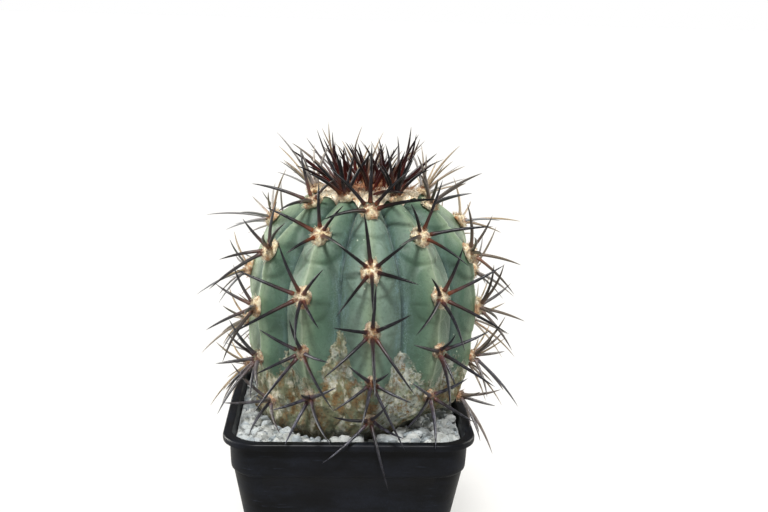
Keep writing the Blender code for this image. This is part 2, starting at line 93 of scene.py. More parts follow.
# Spines: lifts are off the skin, clocks go round the areole from straight up
spineRule = {
    "radius": 0.8,
    "taper": 0.8,
    "rootOffset": 1.6,
    "bow": 0.05,
    "space": 0.7,
    "samples": 16,
    "rootSamples": 3,  # the first samples may be near the skin
    "buriedBelow": -10.0,
    "viewTurn": 3.2,
    "viewTilt": 12.8,
    "steepest": 0.98,
    "flattest": 0.35,
    "sideLift": 24.0,
    "sideLiftSpread": 9.0,
    "lowerLift": 48.0,
    "youngLift": 26.0,
    "youngAge": 1.5,
    "shortest": 15.0,
    "longest": 27.0,
    "clocks": (0, 52, 103, 147, 180, 213, 257, 308),
    "lowerClock": 180,
    "clockSpread": 9.0,
    "lowerLengths": (21.0, 26.0),
    "sideLengths": (15.5, 20.5),
    "lowerTip": (10.0, -12.0),  # a front tip inside the first and below the second is a lower spine's
    "liftTries": (0, 7, 14, -6, 21, 28, 35),
    "turnTries": (0, 6, -6, 12, -12, 18, -18),
}

# Tips of the front spines: right of and above their areole as the front shows them
frontTips = {
    (0, 0): ((-15, 15), (0, 24), (14, 15), (23, 4), (-17, -5)),
    (0, 1): ((-3, 20), (-12, 9), (12, 10), (16, -4), (-11, -15), (2, -24)),
    (0, 2): ((-13, 2), (13, 7), (-16, -15), (2, -24), (15, -20), (1, 17)),
    (0, 3): ((-8, 7), (6, 5), (-13, -9), (14, -6), (-3, -14), (12, -22)),
    (0, 4): ((6, 8), (-13, 3), (-16, -14), (7, -23), (12, -5)),
    (1, 1): ((-4, 11), (7, 20), (25, 4), (16, -10), (-12, -6)),
    (1, 2): ((7, 18), (-4, 7), (22, 12), (28, -14), (9, -20), (-9, -12)),
    (1, 3): ((18, 8), (5, 7), (4, -22), (6, -12), (20, -12), (-10, 4)),
    (1, 4): ((-9, -10), (13, 7), (16, -9), (2, -17), (-8, 8)),
    (10, 1): ((-1, 18), (-19, 9), (8, 10), (-11, -7), (10, -5)),
    (10, 2): ((-8, 19), (-23, 9), (8, 10), (-25, -14), (0, -24), (7, -10)),
    (10, 3): ((-4, 12), (-15, 8), (-16, -8), (10, -2), (-18, -24), (14, -20)),
    (10, 4): ((-13, -4), (-3, 3), (-8, -16), (9, -13), (10, 6)),
    (9, 0): ((-5, 19), (-22, 6), (-23, -12), (9, 8), (-10, -13)),
    (9, 1): ((-10, 11), (-18, -4), (-21, -15), (8, 9), (-3, -16), (3, 17)),
    (9, 2): ((-15, 8), (-18, -9), (-8, 15), (-9, -19), (10, 5), (2, -16)),
    (2, 1): ((8, 14), (19, -4), (16, -15), (-9, 9), (-3, 17), (2, -16)),
    (2, 2): ((12, 9), (18, -5), (13, -16), (-10, 8), (3, 16), (-6, -15)),
}

# Tufts of young spines in the crown
tuftRule = {
    # radius, number of tufts, outward lean and spine length
    "rings": ((10.5, 10, 36.0, 24.0), (6.0, 6, 18.0, 23.0), (1.8, 3, 6.0, 21.0)),
    "sunk": 2.0,
    "spotSpread": 0.2,
    "spinesEach": 4,
    "firstClock": 45.0,
    "clockSpread": 0.25,
    "lifts": (52.0, 72.0),
    "lengthShares": (0.85, 1.12),
    "liftTries": (0, 8, -10, 16),
    "turnTries": (0, 15, -15, 30, -30),
}


def clamped(value, low=0.0):
    return min(1.0, max(low, value))


def eased(share):  # slow at both ends
    return share ** 2 * (3 - 2 * share)


def stray(rng, reach):
    return rng.uniform(-reach, reach)


def summed(form, size):  # parts, each with its power of the size
    return sum(part * size ** power for part, power in form)


def lumpAt(spot, lumps):  # noise of several scales, each with its height
    return sum(noise.noise(spot * scale) * high for scale, high in lumps)


# Meshes are gathered in a heap with their marks, and then become a piece

class Heap:
    def __init__(self, *marks):
        self.marks = {name: [] for name in marks}
        self.points, self.faces = [], []

    def add(self, points, faces, **values):
        start = len(self.points)
        self.points += [tuple(point) for point in points]
        self.faces += [tuple(i + start for i in face) for face in faces]
        for name, kept in self.marks.items():
            value = values.get(name, 0.0)
            kept += list(value) if hasattr(value, "__len__") else [value] * len(points)


def addPiece(name, heap, material, replaced, crisp=None):
    mesh = bpy.data.meshes.new(name)
    mesh.from_pydata([tuple(c * metres for c in point) for point in heap.points], [], heap.faces)
    for mark, values in heap.marks.items():
        made = mesh.attributes.new(mark, "FLOAT", "POINT")
        made.data.foreach_set("value", np.array(values, np.float32))
    mesh.materials.append(material)
    mesh.shade_smooth()
    if crisp:
        mesh.set_sharp_from_angle(angle=math.radians(crisp))
    mesh.update()
    piece = bpy.data.objects.new(name, mesh)
    bpy.context.scene.collection.objects.link(piece)
    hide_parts(*replaced)
    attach(piece, "root")
    return piece


def gridFaces(rows, columns):  # rings that close on themselves
    return [(i * columns + j, i * columns + (j + 1) % columns,
             (i + 1) * columns + (j + 1) % columns, (i + 1) * columns + j)
            for i in range(rows - 1) for j in range(columns)]


def ringShares(rings, columns):  # how far out each ring's points are
    return [(i + 1) / rings for i in range(rings) for _ in range(columns)]


def domeFaces(rings, columns):  # its rings, a point on top and a last one that closes it below
    top, last = rings * columns, (rings - 1) * columns
    faces = [face[::-1] for face in gridFaces(rings, columns)]
    faces += [(top, j, (j + 1) % columns) for j in range(columns)]
    return faces + [(top + 1, last + (j + 1) % columns, last + j) for j in range(columns)]


# The rule that places everything on the body

def buildMeridian():  # outline from apex to root as radius and height, with its length
    points = [(0.0, crownTop)]
    steps = barrel["outlineSteps"]
    for i in range(1, steps + 1):
        turn = math.pi / 2 * (1 - i / steps)
        radius = barrel["radius"] * abs(math.cos(turn)) ** (2 / barrel["crownPowers"][0])
        rise = barrel["crownRise"] * math.sin(turn) ** (2 / barrel["crownPowers"][1])
        points.append((radius, barrel["waistHeight"] + rise))
    for i in range(1, steps + 1):
        drop = i / steps
        tucked = (1 - drop ** barrel["basePowers"][1]) ** (1 / barrel["basePowers"][0])
        points.append((barrel["radius"] * tucked, barrel["waistHeight"] - barrel["rootDrop"] * drop))
    outline = np.array(points)
    stepsAlong = np.hypot(*np.diff(outline, axis=0).T)
    return outline, np.concatenate([[0.0], np.cumsum(stepsAlong)])


outline, outlineLength = buildMeridian()


def outlineAt(along):  # radius, height and outward normal
    here, ahead, behind = ([float(np.interp(place, outlineLength, outline[:, k])) for k in (0, 1)]
                           for place in (along, along + 1.0, along - 1.0))
    tangent = Vector((ahead[0] - behind[0], ahead[1] - behind[1])).normalized()
    return *here, Vector((-tangent.y, tangent.x))


def bodyRadiusAt(height):
    return float(np.interp(-height, -outline[:, 1], outline[:, 0]))


def crestAngle(rib, height):
    angle = barrel["ribAngles"][rib % ribCount] + 360 * (rib // ribCount)
    share = (height - barrel["waistHeight"]) / barrel["crownRise"]
    bow = barrel["ribBow"] * min(share ** 2, 1.0) * math.sin(math.radians(angle))
    return angle - bow - barrel["ribTwist"] * share


def areoleAge(rib, row):
    return 1 + row + areoles["starts"][rib]


def areoleAlong(rib, row):
    return float(np.interp(areoleAge(rib, row), range(len(areoles["places"])), areoles["places"]))


def padRadius(age):
    return areoles["padRadius"] * (1 - areoles["padShrink"] * (age - 1))


def stationAngle(rib, share, height):  # the share runs from a crest at 0 to its grooves at -1 and 1
    here = crestAngle(rib, height)
    other = crestAngle(rib + (1 if share > 0 else -1), height)
    return here + abs(share) * (other - here) / 2


def onAxis(angle, radius, height):
    turn = math.radians(angle)
    lean = barrel["leanStart"] + barrel["leanRate"] * height
    return Vector((lean + radius * math.sin(turn), -radius * math.cos(turn), barrel["rimHeight"] + height))


def grooveShare(along):  # the grooves begin below the crown and grow shallow at the foot
    ends = (barrel["grooveEnd"] - along) / barrel["grooveFade"]
    return min(1.0, along / barrel["grooveStart"]) * clamped(ends, barrel["grooveLeast"])


def surfacePoint(rib, share, along):  # the CAD's own skin, which the areoles stand on
    radius, height, normal = outlineAt(along)
    angle = stationAngle(rib, share, height)
    rise = -barrel["grooveDepth"] * grooveShare(along) * summed(barrel["grooveForm"], abs(share))
    for row in range(areoles["perRib"]):
        down = along - areoleAlong(rib, row) - barrel["bumpDrop"]
        aside = radius * math.radians(angle - crestAngle(rib, height))
        rise += barrel["bumpHeight"] * math.exp(-(down ** 2 + aside ** 2) / barrel["bumpSize"] ** 2)
    return onAxis(angle, radius + rise * normal.x, height + rise * normal.y)


def areoleFrame(rib, row):  # place, outward normal, up and side
    along, reach, across = areoleAlong(rib, row), areoles["feelAlong"], areoles["feelAcross"]
    place = surfacePoint(rib, 0.0, along)
    up = (surfacePoint(rib, 0.0, along - reach) - surfacePoint(rib, 0.0, along + reach)).normalized()
    side = (surfacePoint(rib, across, along) - surfacePoint(rib, -across, along)).normalized()
    normal = side.cross(up).normalized()
    if normal.dot(place - Vector((barrel["leanStart"], 0, place.z))) < 0:
        normal.negate()
    return place, normal, up, side


# The rule that lays out the spines

class Spine:
    def __init__(self, root, direction, length, bow):
        self.root, self.direction, self.length, self.bow = root, direction, length, bow

    def point(self, share):
        bend = 4 * share * (1 - share) * spineRule["bow"] * self.length
        return self.root + self.direction * self.length * share + self.bow * bend

    def samples(self):
        count = spineRule["samples"]
        shares = [i / (count - 1) for i in range(count)]
        return np.array([(*self.point(share), spineRule["radius"] * (1 - spineRule["taper"] * share))
                         for share in shares])


def frontAxes():  # right, up and out as the front view has them
    turn = math.radians(spineRule["viewTurn"])
    tilt = math.radians(spineRule["viewTilt"])
    out = -Vector((math.sin(turn) * math.cos(tilt), math.cos(turn) * math.cos(tilt), -math.sin(tilt)))
    right = Vector((math.cos(turn), -math.sin(turn), 0))
    return right, out.cross(right), out


def seenSpine(place, tip, lift, turn):  # keeps a tip where the front view has it
    normal = place[1]
    right, above, out = frontAxes()
    reach = math.hypot(*tip)
    flat = (right * tip[0] + above * tip[1]) / reach
    flat = Matrix.Rotation(math.radians(turn), 3, out) @ flat
    along = flat.dot(normal)
    outward = out.dot(normal)
    wanted = min(spineRule["steepest"], math.sin(math.radians(lift)) / math.hypot(along, outward))
    forward = math.asin(wanted) - math.atan2(along, outward)
    forward = max(forward, math.acos(min(1.0, reach / spineRule["shortest"])))
    length = min(spineRule["longest"], reach / max(spineRule["flattest"], math.cos(forward)))
    direction = flat * math.cos(forward) + out * math.sin(forward)
    return direction.normalized(), length


def ruledSpine(place, clock, lift, length):
    normal, up, side = place[1:]
    clock = math.radians(clock)
    lift = math.radians(lift)
    flat = up * math.cos(clock) + side * math.sin(clock)
    return (flat * math.cos(lift) + normal * math.sin(lift)).normalized(), length


def isClear(spine, others):  # off the skin, off the pot and off the other spines
    space = spineRule["space"]
    points = spine.samples()
    for x, y, z, half in points[spineRule["rootSamples"]:]:
        height = z - barrel["rimHeight"]
        lean = barrel["leanStart"] + barrel["leanRate"] * height
        skinned = bodyRadiusAt(height) + barrel["bumpHeight"] if height > spineRule["buriedBelow"] else 0.0
        if height < crownTop and math.hypot(x - lean, y) < skinned + half + space:
            return False
        overPot = max(abs(x), abs(y)) < barrel["lipHalf"] + half + space
        if overPot and height < half + space:
            return False
    if not len(others):
        return True
    apart = np.linalg.norm(points[:, None, :3] - others[None, :, :3], axis=2)
    needed = points[:, None, 3] + others[None, :, 3] + space
    return bool((apart > needed).all())


def clearSpine(place, others, make, lifts, turns):  # the first try that is clear
    centre, normal = place[:2]
    for turn in turns:
        for lift in lifts:
            direction, length = make(lift, turn)
            bow = (normal - direction * normal.dot(direction)).normalized()
            aside = (direction - normal * normal.dot(direction)) * spineRule["rootOffset"]
            root = centre + aside + normal * (areoles["gap"] + 0.5 * areoles["padHeight"])
            spine = Spine(root, direction, length - spineRule["rootOffset"], bow)
            if isClear(spine, others):
                return spine
    return None


def ruledTry(place, others, clock, lift, length, rule):
    return clearSpine(place, others, lambda up, turn: ruledSpine(place, clock + turn, up, length),
                      [lift + change for change in rule["liftTries"]], rule["turnTries"])


def clusterSpines(rib, row, others, rng):
    place = areoleFrame(rib, row)
    spines = []
    if (rib, row) in frontTips:
        inside, below = spineRule["lowerTip"]
        for tip in frontTips[rib, row]:
            lower = tip[1] < below and abs(tip[0]) < inside
            lift = spineRule["lowerLift" if lower else "sideLift"]
            spines.append(clearSpine(
                place, others, lambda up, turn, tip=tip: seenSpine(place, tip, up, turn),
                [lift + change for change in spineRule["liftTries"]], spineRule["turnTries"]))
    else:
        skipped = rng.randrange(len(spineRule["clocks"]))
        for i, clock in enumerate(spineRule["clocks"]):
            lower = clock == spineRule["lowerClock"]
            aim = clock + stray(rng, spineRule["clockSpread"])
            lift = (spineRule["lowerLift"] if lower
                    else spineRule["sideLift"] + rng.uniform(0, spineRule["sideLiftSpread"]))
            lift += spineRule["youngLift"] * max(0.0, spineRule["youngAge"] - areoleAge(rib, row))
            length = rng.uniform(*spineRule["lowerLengths" if lower else "sideLengths"])
            if i != skipped:
                spines.append(ruledTry(place, others, aim, lift, length, spineRule))
    return place, [spine for spine in spines if spine]


def crownTufts(others, rng):
    made = []
    each = tuftRule["spinesEach"]
    for radius, count, lean, length in tuftRule["rings"]:
        for i in range(count):
            spot = 360 * (i + stray(rng, tuftRule["spotSpread"])) / count
            root = onAxis(spot, radius, crownTop - tuftRule["sunk"])
            turn, tilt = math.radians(spot), math.radians(lean)
            outward = Vector((math.sin(turn), -math.cos(turn), 0))
            across = Vector((math.cos(turn), math.sin(turn), 0))
            normal = (outward * math.sin(tilt) + Vector((0, 0, 1)) * math.cos(tilt)).normalized()
            place = (root - normal * areoles["gap"], normal, across.cross(normal), across)
            spines = []
            for k in range(each):
                clock = 360 * (k + stray(rng, tuftRule["clockSpread"])) / each + tuftRule["firstClock"]
                lift = rng.uniform(*tuftRule["lifts"])
                size = length * rng.uniform(*tuftRule["lengthShares"])
                spines.append(ruledTry(place, others, clock, lift, size, tuftRule))
            made.append((place, radius, [spine for spine in spines if spine]))
    return made


def layOutPlant():
    rng = random.Random(seed)
    others = np.zeros((0, 4))
    order = sorted(((rib, row) for rib in range(ribCount) for row in range(areoles["perRib"])),
                   key=lambda spot: (spot not in frontTips, spot))
    pads = {spot: areoleFrame(*spot) for spot in order}
    laid = {}
    for rib, row in order:
        near = [(*(place + normal), padRadius(areoleAge(*spot)))
                for spot, (place, normal, _, _) in pads.items() if spot != (rib, row)]
        place, spines = clusterSpines(rib, row, np.vstack([others, near]), rng)
        for spine in spines:
            others = np.vstack([others, spine.samples()])
        laid[rib, row] = (place, spines)
    return laid, crownTufts(others, rng)


clusters, tufts = layOutPlant()
print("spines laid out:", sum(len(spines) for _, spines in clusters.values()),
      "and", sum(len(spines) for _, _, spines in tufts), "in the crown")


# Shader nodes. A brush makes them in one tree, and a finish is a material with its own brush.

def screen(tone):  # a tone as linear light
    shares = [value / 255 for value in tone]
    return (*(s / 12.92 if s <= 0.04045 else ((s + 0.055) / 1.055) ** 2.4 for s in shares), 1.0)


def addNode(tree, kind, inputs=None, **settings):
    made = tree.nodes.new("ShaderNode" + kind)
    for name, value in settings.items():
        setattr(made, name, value)
    for name, value in (inputs or {}).items():
        if isinstance(value, bpy.types.NodeSocket):
            tree.links.new(value, made.inputs[name])
        else:
            made.inputs[name].default_value = value
    return made


class Brush:
    def __init__(self, tree):
        self.tree = tree
        self.place = addNode(tree, "TexCoord").outputs["Object"]

    def maths(self, operation, first, second, clamp=False):
        made = addNode(self.tree, "Math", {0: first, 1: second}, operation=operation, use_clamp=clamp)
        return made.outputs[0]

    def plus(self, first, second):
        return self.maths("ADD", first, second)

    def less(self, first, second):
        return self.maths("SUBTRACT", first, second)

    def times(self, made, *others):
        for other in others:
            made = self.maths("MULTIPLY", made, other)
        return made

    def mix(self, share, first, second):
        return addNode(self.tree, "Mix", {0: share, 6: first, 7: second}, data_type="RGBA").outputs[2]

    def over(self, colour, share, tone):  # lays one tone over a colour
        return self.mix(share, colour, screen(tone))

    def band(self, value, low, high, least=0.0, most=1.0):  # a smooth step from low to high
        return addNode(self.tree, "MapRange", {0: value, 1: low, 2: high, 3: least, 4: most},
                       interpolation_type="SMOOTHSTEP").outputs[0]

    def noise(self, scale, detail=4.0, rough=0.55, place=None):
        inputs = {"Vector": place or self.place, "Scale": scale, "Detail": detail, "Roughness": rough}
        return addNode(self.tree, "TexNoise", inputs).outputs[0]

    def patches(self, scale, low, high, least=0.0, most=1.0, detail=4.0, rough=0.55):
        return self.band(self.noise(scale, detail, rough), low, high, least, most)

    def streaks(self, across, down, *settings):  # noise with its scale stretched both ways
        place = addNode(self.tree, "Mapping", {0: self.place, 3: (across, across, down)}).outputs[0]
        return self.noise(*settings, place)

    def cells(self, scale):  # distance from scattered points
        return addNode(self.tree, "TexVoronoi", {"Vector": self.place, "Scale": scale}).outputs["Distance"]

    def placeAlong(self, axis):  # in metres
        return addNode(self.tree, "SeparateXYZ", {0: self.place}).outputs[axis]

    def mark(self, name):
        return addNode(self.tree, "Attribute", attribute_name=name).outputs["Fac"]

    def ramp(self, value, stops):
        made = addNode(self.tree, "ValToRGB", {0: value})
        ramp = made.color_ramp
        while len(ramp.elements) < len(stops):
            ramp.elements.new(0.5)
        for element, (position, tone) in zip(ramp.elements, stops):
            element.position = position
            element.color = screen(tone)
        return made.outputs[0]


def newGroup(name, inputs, outputs):
    group = bpy.data.node_groups.new(name, "ShaderNodeTree")
    for label, kind, value in inputs:
        socket = group.interface.new_socket(name=label, in_out="INPUT", socket_type="NodeSocket" + kind)
        socket.default_value = value
    for label, kind in outputs:
        group.interface.new_socket(name=label, in_out="OUTPUT", socket_type="NodeSocket" + kind)
    return group, group.nodes.new("NodeGroupInput").outputs, group.nodes.new("NodeGroupOutput").inputs


groupLook = {
    "coarseDetail": 5.0,
    "fineDetail": 3.0,
    "hollowShadeEdges": (0.5, 0.36),
    "cloudNoise": (7.0, 0.65),  # detail and roughness
    "cloudEdges": (0.38, 0.72),
    "specks": (1800.0, 0.45, 0.75, 0.55, 1.0, 2.0),
}


def makeGrainGroup():  # coarse and fine relief, with a mask of its hollows, where shade is painted
    group, given, result = newGroup(
        "surface grain",
        (("Coarse Scale", "Float", 400.0), ("Fine Scale", "Float", 2000.0), ("Fine Share", "Float", 0.4)),
        (("Height", "Float"), ("Hollow Shade", "Float")))
    brush = Brush(group)
    coarse = brush.noise(given["Coarse Scale"], groupLook["coarseDetail"])
    fine = brush.noise(given["Fine Scale"], groupLook["fineDetail"])
    group.links.new(brush.plus(coarse, brush.times(fine, given["Fine Share"])), result["Height"])
    group.links.new(brush.band(coarse, *groupLook["hollowShadeEdges"]), result["Hollow Shade"])
    return group


def makeDustGroup():  # pale dust that lies in patches and streaks
    group, given, result = newGroup(
        "dust film",
        (("Color", "Color", (0.5, 0.5, 0.5, 1.0)), ("Dust Color", "Color", (0.6, 0.6, 0.6, 1.0)),
         ("Amount", "Float", 0.3), ("Patch Scale", "Float", 120.0), ("Streak", "Float", 1.0)),
        (("Color", "Color"), ("Mask", "Float")))
    brush = Brush(group)
    turned = addNode(group, "CombineXYZ", {0: 1.0, 1: 1.0, 2: given["Streak"]}).outputs[0]
    run = addNode(group, "Mapping", {0: brush.place, 3: turned}).outputs[0]
    cloudy = brush.noise(given["Patch Scale"], *groupLook["cloudNoise"], run)
    clouds = brush.band(cloudy, *groupLook["cloudEdges"])
    specks = brush.patches(*groupLook["specks"])
    mask = brush.maths("MULTIPLY", brush.times(clouds, specks), given["Amount"], True)
    group.links.new(brush.mix(mask, given["Color"], given["Dust Color"]), result["Color"])
    group.links.new(mask, result["Mask"])
    return group


grainGroup = makeGrainGroup()
dustGroup = makeDustGroup()


class Finish(Brush):
    def __init__(self, name, settings, coats=None):
        self.material = bpy.data.materials.new(name)
        self.material.use_nodes = True
        super().__init__(self.material.node_tree)
        self.shader = self.tree.nodes["Principled BSDF"]
        self.coats = coats
        for label, value in settings.items():
            self.shader.inputs[label].default_value = value

    def coat(self, colour, name, *masks):  # lays one of the piece's coats where its masks and patches are
        tone, strength, edges, patches = self.coats[name]
        shares = list(masks)
        if edges:  # where the first mask starts and where it is full
            shares[0] = self.band(shares[0], *edges)
        if patches:
            shares.append(self.patches(*patches))
        return self.over(colour, self.times(*shares, strength), tone)

    def grain(self, coarse, fine, share):
        inputs = {"Coarse Scale": coarse, "Fine Scale": fine, "Fine Share": share}
        made = addNode(self.tree, "Group", inputs, node_tree=grainGroup)
        return made.outputs["Height"], made.outputs["Hollow Shade"]

    def dusted(self, colour, dust, amount, patchScale, streak=1.0):
        inputs = {"Color": colour, "Dust Color": screen(dust), "Amount": amount, "Patch Scale": patchScale,
                  "Streak": streak}
        made = addNode(self.tree, "Group", inputs, node_tree=dustGroup)
        return made.outputs["Color"], made.outputs["Mask"]

    def wire(self, label, value):
        self.tree.links.new(value, self.shader.inputs[label])

    def bump(self, height, distance, strength):
        inputs = {"Height": height, "Distance": distance * metres, "Strength": strength}
        self.wire("Normal", addNode(self.tree, "Bump", inputs).outputs[0])


# Body skin

skin = {
    "columnsPerRib": 40,
    "rings": 200,
    "buriedRings": 8,
    "buriedBelow": -9.0,  # height under which the foot is hidden
    "topStart": 0.5,  # how far outside the pocket the skin starts
    "pocket": ((-2.0, 0.0), (0.0, 1.6)),  # the pocket's rings, out from its wall and up from its floor
    "form": ((0.40, 1), (0.32, 2), (0.16, 9)),  # parts of the groove's depth and their powers across a rib
    "lineWidth": 0.55,
    "lineDepth": 0.7,
    "crestWidth": 1.0,
    "crestRise": 0.7,
    "crestFrom": 24.0,
    "crestFade": 12.0,
    "archWidth": 9.4,  # the swelling round each areole
    "archAbove": 12.4,
    "archBelow": 10.0,
    "archRise": 1.1,
    "archPower": 4,
    "archEdge": (1.06, 0.18),  # where it ends and how softly
    "archAging": (1.6, 0.35),  # how strong it is at age 0 and how fast it goes
    "furrowSpan": (4.0, 2.0, 12.0, 4.0),  # from, rising over, to and falling over
    "furrowDrop": 2.2,
    "furrowWidth": 0.7,
    "furrowDepth": 0.35,
    "corkHeight": 19.0,  # top edge of the corky foot on the flanks
    "corkPeaks": (12, 5, 9, 6, 10, 7, 8, 5, 6, 5, 17),  # how far it climbs in the groove after each rib
    "corkPeakWidth": 0.42,
    "corkCrest": (2.0, 2.2),  # how much higher on a crest, and how wide there
    "corkCrust": (0.95, 0.5, 0.4, 0.6, 0.3, 0.5, 0.4, 0.6, 0.2, 0.15, 0.25),  # pale crust in those grooves
    "crustSpread": (1.6, 0.2),
    "corkRelief": 1.1,
    "corkStart": (1.5, 4.0),  # the relief starts this far outside the cork and is full after this much more
    "corkGrain": ((0.5, 0.5, 0.16), 0.4, 0.95),  # scales of its streaks, scabs and crumbs
    "corkParts": (0.5, 0.5, 0.35, 0.4),  # how high they stand, and how deep it all sits
    "bloomAndFrontLight": (1.0, 0.1, 0.0, 0.2, 0.5, 0.3, 0.4, 0.3, 0.2, 0.0, 0.1),  # how much painted front light and bloom a rib has
    "bloomAndFrontLightPower": 6,
    "footTop": 7.5,  # below this height the foot draws to the left
    "footReach": 9.0,
    "footShift": -5.0,
    "footPinch": 3.2,  # how much it is drawn in at the right
    "pinchAngle": 60.0,
    "pinchWidth": 34.0,
    "finish": {"Sheen Weight": 0.3, "Sheen Roughness": 0.4, "Sheen Tint": (0.93, 1.0, 0.8, 1.0)},
    "roughness": (0.0, 1.0, 0.5, 0.9),  # from the green's to the cork's
    "grain": (900.0, 3600.0, 0.5),  # coarse scale, fine scale and the share of the fine one
    "bump": (0.16, 0.8),  # depth and strength
    "crumbRelief": 5.0,
    # noise has its scale, detail and roughness, and streaks have how they are stretched before that;
    # patches have their scale, the edges between which they rise, their least and most, detail and roughness
    "greenScale": 55.0,
    "fineNoise": (2900.0, 2.0, 0.6),
    "filmStreaks": (1.0, 0.14, 700.0, 4.0, 0.7),
    "speckScale": 330.0,
    "bloomAndFrontLightHeights": (0.098, 0.114, 0.35),  # in metres, and the least share below them
    "beside": ((0.55, 0.95), (0.05, 0.5, 0.4)),  # where the film lies: by groove and by the painted front light and bloom mark
    "lineBloomAndFrontLight": (0.05, 0.5, 0.65),
    "corkStreaks": (1.0, 0.62, 330.0, 2.5, 0.5),
    "corkFlecks": (1100.0, 0.3, 0.7, -0.045, 0.045, 3.0, 0.6),
    "mossStreaks": (1.0, 0.7, 190.0, 3.0, 0.55),
    "crumbNoise": (640.0, 6.0, 0.74),
    "crustPatches": (110.0, 0.3, 0.7, -0.5, 0.5),
    "crustCrumbs": (0.40, 0.56),
    "pitScale": 620.0,
    "corkEdges": (-1.4, 1.2),
    "greens": ((0.3, (55, 89, 65)), (0.5, (73, 105, 85)), (0.7, (96, 126, 107))),
    "corks": ((0.30, (74, 54, 32)), (0.40, (126, 98, 58)), (0.47, (132, 116, 84)),
              (0.53, (118, 122, 94)), (0.59, (184, 178, 152)), (0.68, (212, 210, 196))),
    "raggedEdge": ((150.0, 0.25, 0.75, -4.5, 4.5, 4.0, 0.6), (800.0, 0.3, 0.7, -1.1, 1.1, 3.0)),
    "islands": (170.0, 0.50, 0.60, 0.0, 0.8, 5.0, 0.65),  # green left inside the cork
    "islandEdges": (14.0, 5.0),
    "coats": {  # tone, strength, the first mask's edges and patches
        # painted rim light: the green is painted lighter and yellower from the sides to the back
        "paintedRimLight": ((134, 150, 112), 0.55, (-0.016, -0.004), None),
        "top": ((116, 150, 128), 0.2, (0.114, 0.154), None),
        # painted shade: the side ribs are painted darker
        "sideRibShade": ((70, 90, 60), 0.24, (0.8, 0.0), None),
        # painted front light with bloom: pale patches on the upper part of the front rib
        "bloomAndFrontLight": ((176, 190, 182), 1.0, None, (70.0, 0.3, 0.7, 0.16, 0.38)),
        "stipple": ((158, 182, 174), 1.0, (0.52, 0.70), (90.0, 0.35, 0.65, 0.05, 0.26)),
        # painted highlight along the crests
        "crest": ((162, 174, 146), 1.0, None, (220.0, 0.3, 0.7, 0.25, 0.65)),
        "shade": ((62, 94, 74), 0.2, None, None),
        # painted light near the crests, and painted shade on the flanks towards the grooves
        "crestLight": ((136, 156, 126), 1.0, (0.42, 0.04), (130.0, 0.3, 0.7, 0.3, 0.75)),
        "flankShade": ((52, 78, 68), 0.5, (0.25, 0.8), None),
        "film": ((128, 156, 168), 0.5, (0.42, 0.78), None),
        "bloom": ((150, 178, 190), 0.42, (0.50, 0.62), (120.0, 0.35, 0.6)),
        # painted shade in the furrows and along the groove lines
        "furrow": ((40, 66, 46), 0.55, None, None),
        "line": ((32, 52, 54), 1.0, None, (260.0, 0.35, 0.6, 0.5, 1.0)),
        "speck": ((220, 230, 210), 1.0, (0.13, 0.06), (75.0, 0.60, 0.67)),
        "moss": ((104, 116, 90), 0.7, (0.47, 0.60), None),
        "rust": ((122, 86, 48), 0.4, None, (210.0, 0.55, 0.64, 0.0, 1.0, 3.0, 0.6)),
        "crust": ((176, 182, 176), 0.85, (0.3, 0.8), None),
        "pits": ((58, 44, 28), 0.7, (0.30, 0.16), (260.0, 0.42, 0.58)),
        # painted shade at the foot, just above the pumice
        "footShade": ((58, 48, 32), 0.7, (0.0835, 0.078), None),
        "rim": ((182, 184, 160), 0.75, (2.4, 0.6), (400.0, 0.4, 0.6)),
        # painted shade in the hollows of the relief
        "hollowShade": ((50, 68, 54), 0.22, None, None),
    },
}


def footShare(height):
    return eased(clamped((skin["footTop"] - height) / skin["footReach"]))


def footShift(height):
    return skin["footShift"] * footShare(height)


def footPinch(angle, height):
    off = (angle - skin["pinchAngle"]) / skin["pinchWidth"]
    return skin["footPinch"] * footShare(height) * np.exp(-off ** 2)


def ribValues(rule, rib):  # a rule's value for every station of a ring
    return np.array([rule(each) for each in range(ribCount)])[rib]


def grooveValues(name, rib, share):  # a table's value in the groove that each station leans to
    values = np.array(skin[name], float)
    return np.where(share > 0, values[rib], values[rib - 1])


def chinsAt(along, rib, aside):  # bumps, arches and furrows round the areoles
    bump, arch, furrow = (np.zeros(len(rib)) for _ in range(3))
    edge, soft = skin["archEdge"]
    strength, aging = skin["archAging"]
    start, rising, end, falling = skin["furrowSpan"]
    for row in range(areoles["perRib"]):
        reach = along - ribValues(lambda each: areoleAlong(each, row), rib)
        young = np.clip(strength - ribValues(lambda each: areoleAge(each, row), rib) * aging, 0.0, 1.0)
        down = reach - barrel["bumpDrop"]
        bump += barrel["bumpHeight"] * np.exp(-(down ** 2 + aside ** 2) / barrel["bumpSize"] ** 2)
        long = np.where(reach < 0, skin["archAbove"], skin["archBelow"])
        out = np.hypot(aside / skin["archWidth"], reach / long)
        arch = np.maximum(arch, young * eased(np.clip((edge - out) / soft, 0, 1)))
        off = np.abs(aside)
        side = np.clip((off - start) / rising, 0, 1) * np.clip((end - off) / falling, 0, 1)
        across = np.exp(-((reach - skin["furrowDrop"]) / skin["furrowWidth"]) ** 2)
        furrow = np.maximum(furrow, young * side * across)
    return bump, arch, furrow


